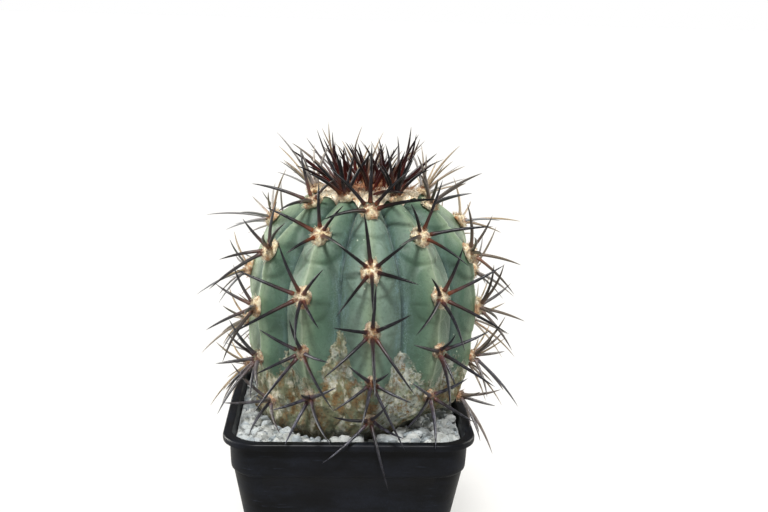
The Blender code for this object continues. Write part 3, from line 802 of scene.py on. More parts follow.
def skinRing(along):  # one ring of fine skin with its marks
    radius, height, normal = outlineAt(along)
    crests = np.array([crestAngle(rib, height) for rib in range(-1, ribCount + 1)])
    count = skin["columnsPerRib"]
    share = np.tile((np.arange(count) + 0.5) / count * 2 - 1, ribCount)
    size = np.abs(share)
    rib = np.repeat(np.arange(ribCount), count)
    here = crests[rib + 1]
    other = np.where(share > 0, crests[rib + 2], crests[rib])
    angle = here + size * (other - here) / 2
    aside = radius * np.radians(angle - here)
    toGroove = radius * np.radians(np.abs(other - here)) / 2 * (1 - size)
    fade = grooveShare(along)
    line = np.exp(-(toGroove / skin["lineWidth"]) ** 2)
    bump, arch, furrow = chinsAt(along, rib, aside)
    crest = np.exp(-(aside / skin["crestWidth"]) ** 2)
    crest *= clamped((along - skin["crestFrom"]) / skin["crestFade"])
    rise = -barrel["grooveDepth"] * fade * summed(skin["form"], size) - skin["lineDepth"] * fade * line
    rise += bump + skin["archRise"] * (arch - 1.0) * fade * (1 - size ** skin["archPower"])
    rise += skin["crestRise"] * (crest - 1.0) - skin["furrowDepth"] * furrow
    climb, breadth = skin["corkCrest"]
    cork = skin["corkHeight"] - height + climb * np.exp(-(aside / breadth) ** 2)
    cork += grooveValues("corkPeaks", rib, share) * np.exp(-((1 - size) / skin["corkPeakWidth"]) ** 2)
    spread, least = skin["crustSpread"]
    crust = grooveValues("corkCrust", rib, share) * np.clip(size * spread, least, 1)
    ribBloomAndFrontLight = np.array(skin["bloomAndFrontLight"])
    beyond = ribBloomAndFrontLight[np.where(share > 0, rib + 1, rib - 1) % ribCount]
    bloomAndFrontLight = ribBloomAndFrontLight[rib] + (beyond - ribBloomAndFrontLight[rib]) * 0.5 * size ** skin["bloomAndFrontLightPower"]
    turn = np.radians(angle)
    wide = radius + rise * normal.x - footPinch(angle, height)
    high = height + rise * normal.y
    lean = barrel["leanStart"] + barrel["leanRate"] * high + footShift(height)
    points = np.stack([lean + wide * np.sin(turn), -wide * np.cos(turn), barrel["rimHeight"] + high], 1)
    out = np.stack([np.sin(turn) * normal.x, -np.cos(turn) * normal.x, np.full_like(turn, normal.y)], 1)
    return points, out, {"line": line * fade, "groove": size, "arch": arch, "furrow": furrow,
                         "crest": crest, "cork": cork, "crust": crust, "bloomAndFrontLight": bloomAndFrontLight}


def roughenCork(points, out, cork):  # wrinkles, scabs and crumbs of the old foot
    start, reach = skin["corkStart"]
    wet = np.clip((cork + start) / reach, 0, 1)
    streaked, scabbed, crumbed = skin["corkGrain"]
    parts = skin["corkParts"]
    moved = np.zeros(len(points))
    for i in np.nonzero(wet > 0)[0]:
        place = Vector(points[i])
        streak = noise.noise(place * Vector(streaked))
        scab = noise.noise(place * scabbed + Vector((9, 0, 0)))  # the shifts keep the noises apart
        crumb = noise.noise(place * crumbed + Vector((0, 7, 0)))
        raised = parts[0] * streak + parts[1] * abs(scab) + parts[2] * crumb - parts[3]
        moved[i] = wet[i] * skin["corkRelief"] * raised
    return points + out * moved[:, None]


def makeSkin():
    heap = Heap("line", "groove", "arch", "furrow", "crest", "cork", "crust", "bloomAndFrontLight")
    foot = outlineLength[-1] - barrel["footRadius"]
    buried = float(np.interp(-skin["buriedBelow"], -outline[:, 1], outlineLength))
    alongs = list(np.linspace(barrel["pocketRadius"] + skin["topStart"], buried, skin["rings"]))
    alongs += list(np.linspace(buried, foot, skin["buriedRings"] + 1))[1:]
    count = skin["columnsPerRib"]
    for outward, up in skin["pocket"]:
        radius, height = barrel["pocketRadius"] + outward, barrel["pocketFloor"] + up
        heap.add([onAxis(stationAngle(rib, (i + 0.5) / count * 2 - 1, height), radius, height)
                  for rib in range(ribCount) for i in range(count)], [])
    for along in alongs:
        points, out, marks = skinRing(along)
        heap.add(roughenCork(points, out, marks["cork"]), [], **marks)
    around = ribCount * count
    last = len(heap.points) - around
    heap.faces = gridFaces(len(heap.points) // around, around)
    heap.faces += [tuple(range(around)), tuple(range(last, last + around))[::-1]]
    return heap


def greenColour(paint):  # waxy green, bluer with bloom near the grooves, with painted light on the crests, front rib and back, and painted shade on the flanks, side ribs, groove lines and furrows
    green = paint.ramp(paint.noise(skin["greenScale"]), skin["greens"])
    bloomAndFrontLight, groove, height = paint.mark("bloomAndFrontLight"), paint.mark("groove"), paint.placeAlong("Z")
    green = paint.coat(green, "paintedRimLight", paint.placeAlong("Y"))
    green = paint.coat(green, "top", height)
    green = paint.coat(green, "sideRibShade", bloomAndFrontLight)
    green = paint.coat(green, "bloomAndFrontLight", bloomAndFrontLight, paint.band(height, *skin["bloomAndFrontLightHeights"]))
    fine = paint.noise(*skin["fineNoise"])
    green = paint.coat(green, "stipple", fine)
    green = paint.coat(green, "crest", paint.mark("crest"))
    green = paint.coat(green, "shade", paint.less(1.0, paint.mark("arch")))
    green = paint.coat(green, "crestLight", groove)
    green = paint.coat(green, "flankShade", groove)
    nearGroove, onBloomAndFrontLight = skin["beside"]
    beside = paint.times(paint.band(groove, *nearGroove), paint.band(bloomAndFrontLight, *onBloomAndFrontLight))
    green = paint.coat(green, "film", paint.streaks(*skin["filmStreaks"]), beside)
    green = paint.coat(green, "bloom", fine, beside)
    green = paint.coat(green, "furrow", paint.mark("furrow"))
    green = paint.coat(green, "line", paint.mark("line"), paint.band(bloomAndFrontLight, *skin["lineBloomAndFrontLight"]))
    return paint.coat(green, "speck", paint.cells(skin["speckScale"]))


def corkColour(paint):  # brown, olive and cream streaks, pale crust, rust, and painted shade on the base by the pumice
    run = paint.plus(paint.streaks(*skin["corkStreaks"]), paint.patches(*skin["corkFlecks"]))
    cork = paint.ramp(run, skin["corks"])
    cork = paint.coat(cork, "moss", paint.streaks(*skin["mossStreaks"]))
    cork = paint.coat(cork, "rust")
    crumbs = paint.noise(*skin["crumbNoise"])
    crusty = paint.plus(paint.mark("crust"), paint.patches(*skin["crustPatches"]))
    cork = paint.coat(cork, "crust", crusty, paint.band(crumbs, *skin["crustCrumbs"]))
    cork = paint.coat(cork, "pits", paint.cells(skin["pitScale"]))
    return paint.coat(cork, "footShade", paint.placeAlong("Z")), crumbs


def makeSkinMaterial():
    paint = Finish("glaucous skin and corky foot", skin["finish"], skin["coats"])
    cork, crumbs = corkColour(paint)
    large, small = skin["raggedEdge"]
    edge = paint.plus(paint.mark("cork"), paint.plus(paint.patches(*large), paint.patches(*small)))
    islands = paint.times(paint.patches(*skin["islands"]), paint.band(edge, *skin["islandEdges"]))
    covered = paint.times(paint.band(edge, *skin["corkEdges"]), paint.less(1.0, islands))
    cork = paint.coat(cork, "rim", edge, covered)
    relief, hollowShade = paint.grain(*skin["grain"])
    paint.wire("Base Color", paint.coat(paint.mix(covered, greenColour(paint), cork), "hollowShade", hollowShade))
    paint.wire("Roughness", paint.band(covered, *skin["roughness"]))
    paint.bump(paint.plus(relief, paint.times(crumbs, covered, skin["crumbRelief"])), *skin["bump"])
    return paint.material


skinPiece = addPiece("body_skin", makeSkin(), makeSkinMaterial(), ["cactus_body"])
print("body skin:", len(skinPiece.data.polygons), "faces")


# Felt pads and their hairs

felt = {
    "segments": 36,
    "rings": 10,
    "ages": (0.5, 1.0, 1.5, 2.0, 3.0, 3.6, 5.2),
    "across": (2.6, 3.2, 3.5, 3.5, 2.8, 2.2, 1.9),  # half-widths of a pad at those ages
    "tall": (2.5, 3.3, 3.9, 4.3, 3.9, 2.4, 1.9),
    "rises": (2.2, 2.7, 2.8, 2.8, 2.5, 1.9, 1.7),
    "sunk": 0.7,
    "closed": 0.3,  # how far below its edge a pad is closed
    "lobes": (1.06, 0.16, 0.26),  # full size, and how deep and wide it draws in at a spine
    "dome": (3.4, 0.8),  # powers that set how round a pad is at its edge and its top
    "lumps": ((0.9, 0.3), (2.6, 0.26)),
    "lumpLean": 0.6,
    "socket": 0.95,  # how far the brown spreads round a spine
    "hairs": 210,
    "hairsLost": 0.13,  # share lost with each step of age
    "hairLength": (0.6, 1.9),
    "hairRadius": 0.085,
    "hairRoot": 0.15,
    "hairOut": (0.5, 1.1),
    "hairUp": (0.25, 0.9),
    "hairStray": 0.5,
    "hairBend": 0.3,
    "hairRings": ((0.0, 1.0), (0.55, 0.8)),  # place along a hair and width there
    "finish": {"Roughness": 0.95, "Sheen Weight": 0.3, "Sheen Roughness": 0.6},
    "grain": (900.0, 3000.0, 0.6),
    "bump": (0.35, 0.9),
    "creamNoise": (620.0, 5.0, 0.65),
    "creams": ((0.32, (172, 132, 86)), (0.42, (234, 214, 168)), (0.54, (255, 246, 216))),
    "coats": {
        "tan": ((224, 192, 146), 0.14, (0.0, 1.0), None),
        "pink": ((146, 98, 80), 1.0, None, (420.0, 0.55, 0.64, 0.0, 0.28, 3.0)),
        "socket": ((156, 92, 46), 1.0, (0.1, 0.7), (480.0, 0.35, 0.6, 0.35, 0.95, 3.0)),
        "rust": ((196, 124, 56), 1.0, (0.55, 1.0), (260.0, 0.46, 0.60, 0.0, 0.75, 5.0)),
        "aged": ((122, 100, 84), 1.0, None, (340.0, 0.35, 0.65, 0.4, 1.0)),
        # painted shade in the hollows of the relief
        "hollowShade": ((104, 66, 44), 0.5, None, None),
    },
}


def addHair(heap, root, aim, length, radius, share, rng, socket=0.0):
    facing = aim.to_track_quat("Z", "Y").to_matrix()
    bend = facing @ Vector((stray(rng, felt["hairBend"]), stray(rng, felt["hairBend"]), 0)) * length
    points = []
    for step, wide in felt["hairRings"]:
        for k in range(3):
            turn = math.tau * k / 3
            ring = facing @ Vector((math.cos(turn), math.sin(turn), 0)) * radius * wide
            points.append(root + aim * length * step + bend * step ** 2 + ring)
    points.append(root + aim * length + bend)
    faces = [(k, (k + 1) % 3, 3 + (k + 1) % 3, 3 + k) for k in range(3)]
    faces += [(3 + k, 3 + (k + 1) % 3, 6) for k in range(3)] + [(2, 1, 0)]
    heap.add(points, faces, edge=share, tint=rng.random(), socket=socket)


def addFelt(heap, place, sizes, sunk, spines, rng, hairs):
    centre, normal, up, side = place
    across, tall, rise = sizes
    angles = []
    for spine in spines:
        flat = spine.direction - normal * spine.direction.dot(normal)
        angles.append(math.atan2(flat.dot(up), flat.dot(side)))

    def lobe(angle):  # the felt swells between the spines
        full, deep, wide = felt["lobes"]
        pinch = sum(math.exp(-(math.remainder(angle - other, math.tau) / wide) ** 2) for other in angles)
        return full - deep * min(1.0, pinch)

    def felted(share, angle):
        edge, top = felt["dome"]
        high = rise * max(0.0, 1 - share ** edge) ** top - sunk
        flat = side * math.cos(angle) + up * math.sin(angle)
        oval = side * math.cos(angle) * across + up * math.sin(angle) * tall
        spot = centre + oval * lobe(angle) * share + normal * high
        outward = normal * (1 - share * felt["lumpLean"]) + flat * share
        return spot + outward * lumpAt(spot, felt["lumps"]), flat

    def socketAt(spot):  # nearness to the foot of a spine
        gaps = ((spot - spine.root).cross(spine.direction).length for spine in spines)
        return math.exp(-(min(gaps) / felt["socket"]) ** 2)

    segments, rings = felt["segments"], felt["rings"]
    points = [felted((i + 1) / rings, math.tau * j / segments)[0]
              for i in range(rings) for j in range(segments)]
    points += [felted(0.0, 0.0)[0], centre - normal * (sunk + felt["closed"])]
    heap.add(points, domeFaces(rings, segments), edge=ringShares(rings, segments) + [0.0, 1.0],
             tint=rng.random(), socket=[socketAt(point) for point in points])
    for _ in range(hairs):
        share = math.sqrt(rng.random())
        angle = rng.uniform(0, math.tau)
        root, flat = felted(share, angle)
        root = root - normal * felt["hairRoot"]
        aim = (flat * (share * rng.uniform(*felt["hairOut"])) + normal * rng.uniform(*felt["hairUp"])
               + side * stray(rng, felt["hairStray"]) + up * stray(rng, felt["hairStray"])).normalized()
        length = rng.uniform(*felt["hairLength"])
        addHair(heap, root, aim, length, felt["hairRadius"], share, rng, socketAt(root))


def makeFeltMaterial():
    paint = Finish("cream areole felt", felt["finish"], felt["coats"])
    cream = paint.ramp(paint.noise(*felt["creamNoise"]), felt["creams"])
    cream = paint.coat(cream, "tan", paint.mark("tint"))
    cream = paint.coat(cream, "pink")
    cream = paint.coat(cream, "socket", paint.mark("socket"))
    cream = paint.coat(cream, "rust", paint.mark("edge"))
    cream = paint.coat(cream, "aged", paint.mark("age"))
    relief, hollowShade = paint.grain(*felt["grain"])
    paint.wire("Base Color", paint.coat(cream, "hollowShade", hollowShade))
    paint.bump(relief, *felt["bump"])
    return paint.material


# Spines

spineLook = {
    "sides": 8,
    "shares": (0.0, 0.025, 0.06, 0.11, 0.2, 0.35, 0.5, 0.64, 0.77, 0.88, 0.95),
    "widths": (1.0, 1.28, 1.2, 1.0, 0.97, 0.92, 0.84, 0.72, 0.54, 0.34, 0.17),
    "hidden": 0.06,  # share of a young spine that stays inside the felt
    "ridge": 0.05,  # low lengthwise ridges
    "oldAges": (1.8, 3.4),  # a spine starts to look old at the first age, and is old after the second more
    "thickness": (0.81, 0.81, 0.74, 0.52, 0.47, 0.5, 0.5, 0.5, 0.55, 0.79, 0.81),
    "thicknessSpread": (0.93, 1.07),
    "warms": (0.25, 0.3, 0.45, 1.0, 1.0, 1.0, 1.0, 1.0, 1.0, 0.9, 0.4),  # how much orange-brown a rib has: real colour, raised on the side and back ribs as painted light shining through the spines
    "warmRarity": 2.5,
    "warmAges": 1.1,  # an old spine keeps a tenth of it
    "feltAging": 1.5,
    "greys": (0.0, 0.15, 0.3, 0.6, 0.5, 0.5, 0.5, 0.5, 0.6, 0.3, 0.1),
    "greySpread": (0.3, 0.9),
    "dries": (0.0, 0.0, 0.3, 1.0, 1.0, 0.9, 0.9, 0.9, 0.95, 0.12, 0.0),  # how bleached a rib's spines are
    "drySpread": (0.5, 1.0),
    "black": (18, 16, 18),
    "straw": (190, 164, 124),
    "ash": (168, 170, 176),
    "dust": (118, 120, 136),
    "dustScale": 240.0,
    "roughness": (0.0, 0.3, 0.28, 0.6),  # from clean to dusty
    "grain": (800.0, 3200.0, 0.4),
    "bump": (0.06, 0.7),
    "warmEdges": (0.5, 0.03),
    "fibres": (650.0, 0.38, 0.62, 0.15, 1.0, 5.0, 0.65),
    "blackening": (0.0, 1.0, 0.0, 0.6),
    "horn": {
        "name": "dark spine horn", "gloss": 0.34, "dusty": 0.08,
        "old": (98, 98, 112), "warm": (166, 88, 38),
        "stops": ((0.0, (122, 72, 44)), (0.05, (78, 38, 28)), (0.13, (32, 17, 16)), (0.3, (12, 9, 10)),
                  (0.75, (6, 5, 6)), (1.0, (3, 3, 3))),
    },
    "young": {
        "name": "young maroon spines", "gloss": 0.2, "dusty": 0.03,
        "old": (100, 50, 44), "warm": (168, 60, 28),
        "stops": ((0.0, (184, 84, 38)), (0.12, (118, 38, 22)), (0.33, (86, 26, 20)), (0.6, (56, 18, 17)),
                  (0.85, (22, 10, 12)), (1.0, (10, 7, 8))),
    },
}


def addSpine(heap, spine, thickness, first, **look):
    facing = spine.direction.to_track_quat("Z", "Y").to_matrix()
    sides = spineLook["sides"]
    points, along = [], []
    for share, width in zip(spineLook["shares"], spineLook["widths"]):
        middle = spine.point(first + (1 - first) * share)
        for k in range(sides):
            turn = math.tau * k / sides
            wide = spineRule["radius"] * thickness * width * (1 + spineLook["ridge"] * (-1) ** k)
            points.append(middle + facing @ Vector((math.cos(turn), math.sin(turn), 0)) * wide)
            along.append(share)
    points.append(spine.point(1.0))
    along.append(1.0)
    rings = len(spineLook["shares"])
    last = (rings - 1) * sides
    faces = gridFaces(rings, sides)
    faces += [(last + k, last + (k + 1) % sides, last + sides) for k in range(sides)]
    faces.append(tuple(range(sides))[::-1])
    heap.add(points, faces, along=along, **look)


def makeSpineMaterial(look):
    paint = Finish(look["name"], {"Specular IOR Level": look["gloss"]})
    along, tone = paint.mark("along"), paint.mark("tone")
    horn = paint.ramp(along, look["stops"])
    warmed = paint.times(paint.mark("warm"), paint.band(along, *spineLook["warmEdges"]))
    horn = paint.over(horn, warmed, look["warm"])
    fibres = paint.patches(*spineLook["fibres"])
    horn = paint.over(horn, paint.times(paint.mark("age"), fibres), look["old"])
    horn = paint.over(horn, paint.band(tone, *spineLook["blackening"]), spineLook["black"])
    dried = paint.mix(tone, screen(spineLook["straw"]), screen(spineLook["ash"]))
    horn = paint.mix(paint.mark("dry"), horn, dried)
    colour, film = paint.dusted(horn, spineLook["dust"], look["dusty"], spineLook["dustScale"])
    paint.wire("Base Color", colour)
    paint.wire("Roughness", paint.band(film, *spineLook["roughness"]))
    paint.bump(paint.grain(*spineLook["grain"])[0], *spineLook["bump"])
    return paint.material


feltMaterial = makeFeltMaterial()
hornMaterial = makeSpineMaterial(spineLook["horn"])


def dressRib(rib):
    rng = random.Random(seed * 100 + rib)
    spineHeap = Heap("along", "age", "warm", "tone", "dry")
    feltHeap = Heap("edge", "tint", "socket", "age")
    start, reach = spineLook["oldAges"]
    names = []
    for row in range(areoles["perRib"]):
        place, spines = clusters[rib, row]
        age = areoleAge(rib, row)
        old = clamped((age - start) / reach)
        heap = Heap("edge", "tint", "socket")
        sizes = [float(np.interp(age, felt["ages"], felt[name])) for name in ("across", "tall", "rises")]
        hairs = int(felt["hairs"] * (1 - felt["hairsLost"] * age))
        addFelt(heap, place, sizes, felt["sunk"], spines, rng, hairs)
        feltHeap.add(heap.points, heap.faces, age=old ** spineLook["feltAging"], **heap.marks)
        for spine in spines:
            thickness = spineLook["thickness"][rib] * rng.uniform(*spineLook["thicknessSpread"])
            grey = old * rng.uniform(*spineLook["greySpread"]) + spineLook["greys"][rib] * rng.random()
            warm = rng.random() ** spineLook["warmRarity"] * (spineLook["warmAges"] - old)
            warm *= spineLook["warms"][rib]
            dry = spineLook["dries"][rib] * rng.uniform(*spineLook["drySpread"])
            addSpine(spineHeap, spine, thickness, spineLook["hidden"] * (1 - old),
                     age=min(1.0, grey), warm=warm, tone=rng.random(), dry=dry)
        names.append(f"areole_{rib + 1:02d}_{row + 1}")
    addPiece(f"spines_rib_{rib + 1:02d}", spineHeap, hornMaterial, names)
    addPiece(f"felt_rib_{rib + 1:02d}", feltHeap, feltMaterial, names)


for rib in range(ribCount):
    dressRib(rib)
print("areoles dressed")


# Crown

crown = {
    "woolRadius": 13.6,
    "woolRise": 4.6,
    "woolSunk": 2.2,
    "woolClosed": 2.0,
    "woolDome": 2.4,
    "woolDrop": 0.4,
    "woolLumps": ((0.4, 0.7), (1.3, 0.4)),
    "rings": 26,
    "segments": 90,
    "tuftSizes": (3.4, 3.4, 2.0),  # across, tall and rise
    "tuftSunk": 0.6,
    "tuftHairs": 60,
    "hairs": 1500,
    "hairLength": (1.2, 3.0),
    "hairRadius": 0.1,
    "hairOut": 0.8,
    "hairUp": (0.5, 1.1),
    "hairStray": 0.5,
    "hairRoot": 0.2,
    "skirtFrom": 12.0,  # distances from the apex
    "skirtTo": 19.0,
    "skirtRise": 0.9,
    "skirtSunk": 0.35,
    "skirtPower": 1.6,
    "skirtLumps": ((0.3, 0.9), (1.4, 0.2)),
    "skirtLumpFade": 1.1,
    "skirtRings": 9,
    "skirtColumns": 14,  # in each rib
    "skirtEdge": 0.7,
    "skirtHairs": 2200,
    "skirtHairLength": (0.9, 2.6),
    "skirtHairRadius": 0.08,
    "skirtHairEdge": 0.4,  # how much browner the hairs are towards the crown
    "skirtHairOut": (0.1, 0.9),
    "skirtHairUp": (0.3, 1.0),
    "skirtCrowding": 0.8,  # under 1 the hairs crowd towards the skirt's edge
    "grownFrom": 8.0,  # tufts nearer the apex have spines that are still growing
    "growing": (0.72, 0.95),
    "rear": (2.0, 9.0),  # tufts further back than the first, and after the second more fully, are soft
    "thickness": (0.8, 0.96),
    "rearThinner": 0.3,
    "rearDry": 0.95,
    "drySpread": (0.3, 1.0),
    "greyest": 0.05,
    "warmest": 0.8,
    "warmRarity": 4,
    "finish": {"Roughness": 0.95, "Sheen Weight": 0.25, "Sheen Roughness": 0.6},
    "grain": (600.0, 2400.0, 0.6),
    "bump": (0.22, 0.8),
    "brownScale": 260.0,
    "creamScale": 330.0,
    "edgePatches": (160.0, 0.3, 0.7, -0.25, 0.25),
    "creamEdges": (0.55, 0.85),
    "browns": ((0.3, (104, 48, 22)), (0.5, (166, 98, 50)), (0.7, (204, 158, 106))),
    "creams": ((0.29, (196, 138, 84)), (0.39, (238, 216, 180)), (0.52, (255, 249, 230))),
    "coats": {
        "tan": ((220, 180, 130), 0.2, None, None),
        # painted shade in the hollows of the relief
        "hollowShade": ((134, 88, 52), 0.24, None, None),
    },
}


def addSkirt(heap, rng):  # thin wool on the skin round the crown
    rings, columns = crown["skirtRings"], crown["skirtColumns"]

    def spotAt(rib, side, share):
        along = crown["skirtFrom"] + (crown["skirtTo"] - crown["skirtFrom"]) * share
        skinned = surfacePoint(rib, side, along)
        high = crown["skirtRise"] * (1 - share ** crown["skirtPower"]) - crown["skirtSunk"]
        lump = lumpAt(skinned, crown["skirtLumps"]) * (crown["skirtLumpFade"] - share)
        return skinned + Vector((0, 0, 1)) * (high + lump)

    sides = [(rib, (i + 0.5) / columns * 2 - 1) for rib in range(ribCount) for i in range(columns)]
    shares = [i / (rings - 1) for i in range(rings)]
    edges = [crown["skirtEdge"] + (1 - crown["skirtEdge"]) * share for share in shares for _ in sides]
    heap.add([spotAt(rib, side, share) for share in shares for rib, side in sides],
             gridFaces(rings, len(sides)), edge=edges, tint=0.4)
    for _ in range(crown["skirtHairs"]):
        rib, side = rng.choice(sides)
        share = rng.random() ** crown["skirtCrowding"]
        root = spotAt(rib, side, share)
        away = Vector((root.x - barrel["leanStart"], root.y, 0)).normalized()
        aim = (away * rng.uniform(*crown["skirtHairOut"])
               + Vector((stray(rng, crown["hairStray"]), stray(rng, crown["hairStray"]),
                         rng.uniform(*crown["skirtHairUp"])))).normalized()
        addHair(heap, root - Vector((0, 0, crown["hairRoot"])), aim, rng.uniform(*crown["skirtHairLength"]),
                crown["skirtHairRadius"], 1 + crown["skirtHairEdge"] * (share - 1), rng)


def makeCrownWool():
    rng = random.Random(seed + 1)
    heap = Heap("edge", "tint")
    floor = barrel["pocketFloor"] + areoles["gap"] + crown["woolSunk"]

    def woolly(share, angle):
        high = crown["woolRise"] * math.sqrt(max(0.0, 1 - share ** crown["woolDome"])) - crown["woolDrop"]
        spot = onAxis(angle, crown["woolRadius"] * share, floor + high)
        return spot + Vector((0, 0, 1)) * lumpAt(spot, crown["woolLumps"])

    rings, count = crown["rings"], crown["segments"]
    points = [woolly((i + 1) / rings, 360 * j / count) for i in range(rings) for j in range(count)]
    points += [woolly(0.0, 0.0), onAxis(0, 0, floor - crown["woolClosed"])]
    heap.add(points, domeFaces(rings, count), edge=ringShares(rings, count) + [0.0, 0.5], tint=0.5)
    for place, _, spines in tufts:
        addFelt(heap, place, crown["tuftSizes"], crown["tuftSunk"], spines, rng, crown["tuftHairs"])
    addSkirt(heap, rng)
    for _ in range(crown["hairs"]):
        share = math.sqrt(rng.random())
        angle = rng.uniform(0, 360)
        root = woolly(share, angle)
        turn, out = math.radians(angle), share * crown["hairOut"]
        aim = Vector((math.sin(turn) * out + stray(rng, crown["hairStray"]),
                      -math.cos(turn) * out + stray(rng, crown["hairStray"]),
                      rng.uniform(*crown["hairUp"]))).normalized()
        addHair(heap, root - Vector((0, 0, crown["hairRoot"])), aim, rng.uniform(*crown["hairLength"]),
                crown["hairRadius"], share, rng)
    return heap


def makeWoolMaterial():
    paint = Finish("crown wool", crown["finish"], crown["coats"])
    brown = paint.ramp(paint.noise(crown["brownScale"]), crown["browns"])
    cream = paint.ramp(paint.noise(crown["creamScale"]), crown["creams"])
    edge = paint.plus(paint.mark("edge"), paint.patches(*crown["edgePatches"]))
    colour = paint.mix(paint.band(edge, *crown["creamEdges"]), brown, cream)
    colour = paint.coat(colour, "tan", paint.mark("tint"))
    relief, hollowShade = paint.grain(*crown["grain"])
    paint.wire("Base Color", paint.coat(colour, "hollowShade", hollowShade))
    paint.bump(relief, *crown["bump"])
    return paint.material


def makeCrownSpines():
    rng = random.Random(seed + 2)
    heap = Heap("along", "age", "warm", "tone", "dry")
    start, reach = crown["rear"]
    for place, radius, spines in tufts:
        rear = clamped((place[0].y + start) / reach)
        for spine in spines:
            grown = 1.0 if radius > crown["grownFrom"] else rng.uniform(*crown["growing"])
            drawn = Spine(spine.root, spine.direction, spine.length * grown, spine.bow)
            thickness = rng.uniform(*crown["thickness"]) - crown["rearThinner"] * rear
            addSpine(heap, drawn, thickness, 0.0, age=crown["greyest"] * rng.random(),
                     warm=rng.random() ** crown["warmRarity"] * crown["warmest"], tone=rng.random(),
                     dry=crown["rearDry"] * rear * rng.uniform(*crown["drySpread"]))
    return heap


youngMaterial = makeSpineMaterial(spineLook["young"])
addPiece("crown_wool", makeCrownWool(), makeWoolMaterial(), ["crown"])
addPiece("crown_spines", makeCrownSpines(), youngMaterial, ["crown"])
print("crown made")


# Pumice

pumice = {
    "half": 40.65,  # inside of the collar, less a small gap
    "cornerRadius": 9.8,
    "soilTop": -7.6,
    "slabTop": -3.6,
    "bedTop": -4.3,
    "bedLumps": ((0.5, 0.7),),
    "bedSpokes": 180,
    "bedRings": 14,
    "footHeight": -4.0,
    "tucked": 1.3,  # how far the chips reach in under the skin
    "stoneCount": 52,
    "stonesPiled": 12,
    "stoneRadius": (2.1, 3.4),
    "stoneSwell": 1.12,
    "stoneFaces": 8,
    "stoneCuts": (0.42, 0.8),
    "stoneRough": (2.2, 0.09),  # scale and height of its noise
    "stoneShift": 50,  # how far apart two stones' noises may be
    "inset": 0.9,  # shares of a stone's size: kept from the collar, from its neighbours, and let in
    "apart": 0.75,
    "letIn": 0.8,
    "chipInset": 0.5,
    "leastTall": 0.8,  # how far a large stone stands out at least
    "crisp": 24,
    "finish": {"Roughness": 0.9},
    "grain": (520.0, 2200.0, 0.5),
    "bump": (0.4, 0.9),
    "pitScale": 900.0,
    "pitEdges": (0.32, 0.14),
    "pitPatches": (340.0, 0.42, 0.6),
    "squash": (1.0, 0.9, 0.8),
    "chipSquash": (1.0, 0.85, 0.75),
    "topDepth": 1.0,
    "footGap": 1.2,
    "chips": (  # count, fineness, radii and heights
        (110, 2, (2.3, 3.3), (-3.0, -2.3)),
        (170, 2, (1.8, 2.9), (-3.6, -2.5)),
        (300, 1, (1.0, 1.8), (-4.2, -2.5))),
    "stones": ((0.0, (164, 174, 180)), (0.3, (202, 208, 210)), (0.7, (195, 197, 192)),
               (1.0, (220, 223, 222))),
    "coats": {
        "mottle": ((146, 154, 158), 1.0, None, (300.0, 0.35, 0.65, 0.0, 0.36, 5.0, 0.6)),
        # painted shade in the pits, which the bump also sinks
        "pits": ((104, 102, 98), 0.55, None, None),
        # painted shade in the hollows of the relief
        "hollowShade": ((124, 123, 118), 0.3, None, None),
    },
}


def squareReach(angle, half, corner):  # distance from the middle to a rounded square's side
    x, y = abs(math.cos(angle)), abs(math.sin(angle))
    reach = half / max(x, y)
    inner = half - corner
    if min(x, y) * reach > inner:
        along = inner * (x + y)
        reach = along + math.sqrt(max(0.0, along ** 2 - 2 * inner ** 2 + corner ** 2))
    return reach


def makeStoneShape(levels):
    bm = bmesh.new()
    bmesh.ops.create_icosphere(bm, subdivisions=levels, radius=1.0)
    points = [vert.co.copy() for vert in bm.verts]
    faces = [tuple(vert.index for vert in face.verts) for face in bm.faces]
    bm.free()
    return points, faces


def addStone(heap, shape, place, size, rng, squash):  # a ball cut flat on several sides
    planes = [(Vector((rng.gauss(0, 1), rng.gauss(0, 1), rng.gauss(0, 1))).normalized(),
               rng.uniform(*pumice["stoneCuts"])) for _ in range(pumice["stoneFaces"])]
    spin = Euler([rng.uniform(0, math.tau) for _ in range(3)]).to_matrix()
    shift = Vector([rng.uniform(0, pumice["stoneShift"]) for _ in range(3)])
    scale, rough = pumice["stoneRough"]
    points = []
    for corner in shape[0]:
        point = corner.copy()
        for normal, depth in planes:
            over = point.dot(normal) - depth
            if over > 0:
                point -= normal * over
        point *= 1 + rough * noise.noise(corner * scale + shift)
        points.append(place + spin @ point * Vector(squash) * size)
    heap.add(points, shape[1], tint=rng.random())


def footRadius(x, y, height):  # reach of the skin towards a spot, a little inside it
    angle = math.degrees(math.atan2(x, -y))
    return bodyRadiusAt(height) - float(footPinch(angle, height)) - pumice["tucked"]


def makePumiceBed():
    heap = Heap("tint")
    spokes, rings, depth = pumice["bedSpokes"], pumice["bedRings"], pumice["footHeight"]
    middle = Vector((barrel["leanStart"] + footShift(depth), 0, 0))
    levels = []
    for i in range(rings + 1):
        ring = []
        for j in range(spokes):
            angle = math.tau * j / spokes
            away = Vector((math.cos(angle), math.sin(angle), 0))
            outer = away * squareReach(angle, pumice["half"], pumice["cornerRadius"])
            spot = (middle + away * footRadius(away.x, away.y, depth)).lerp(outer, i / rings)
            spot.z = barrel["rimHeight"] + pumice["bedTop"] + lumpAt(spot, pumice["bedLumps"])
            ring.append(spot)
        levels.append(ring)
    low = barrel["rimHeight"] + pumice["soilTop"]
    for ring in (levels[-1], levels[0]):
        levels.append([Vector((spot.x, spot.y, low)) for spot in ring])
    faces = gridFaces(len(levels), spokes)
    top = (len(levels) - 1) * spokes
    faces += [(top + j, top + (j + 1) % spokes, (j + 1) % spokes, j) for j in range(spokes)]
    heap.add([spot for ring in levels for spot in ring], [face[::-1] for face in faces], tint=0.4)
    return heap


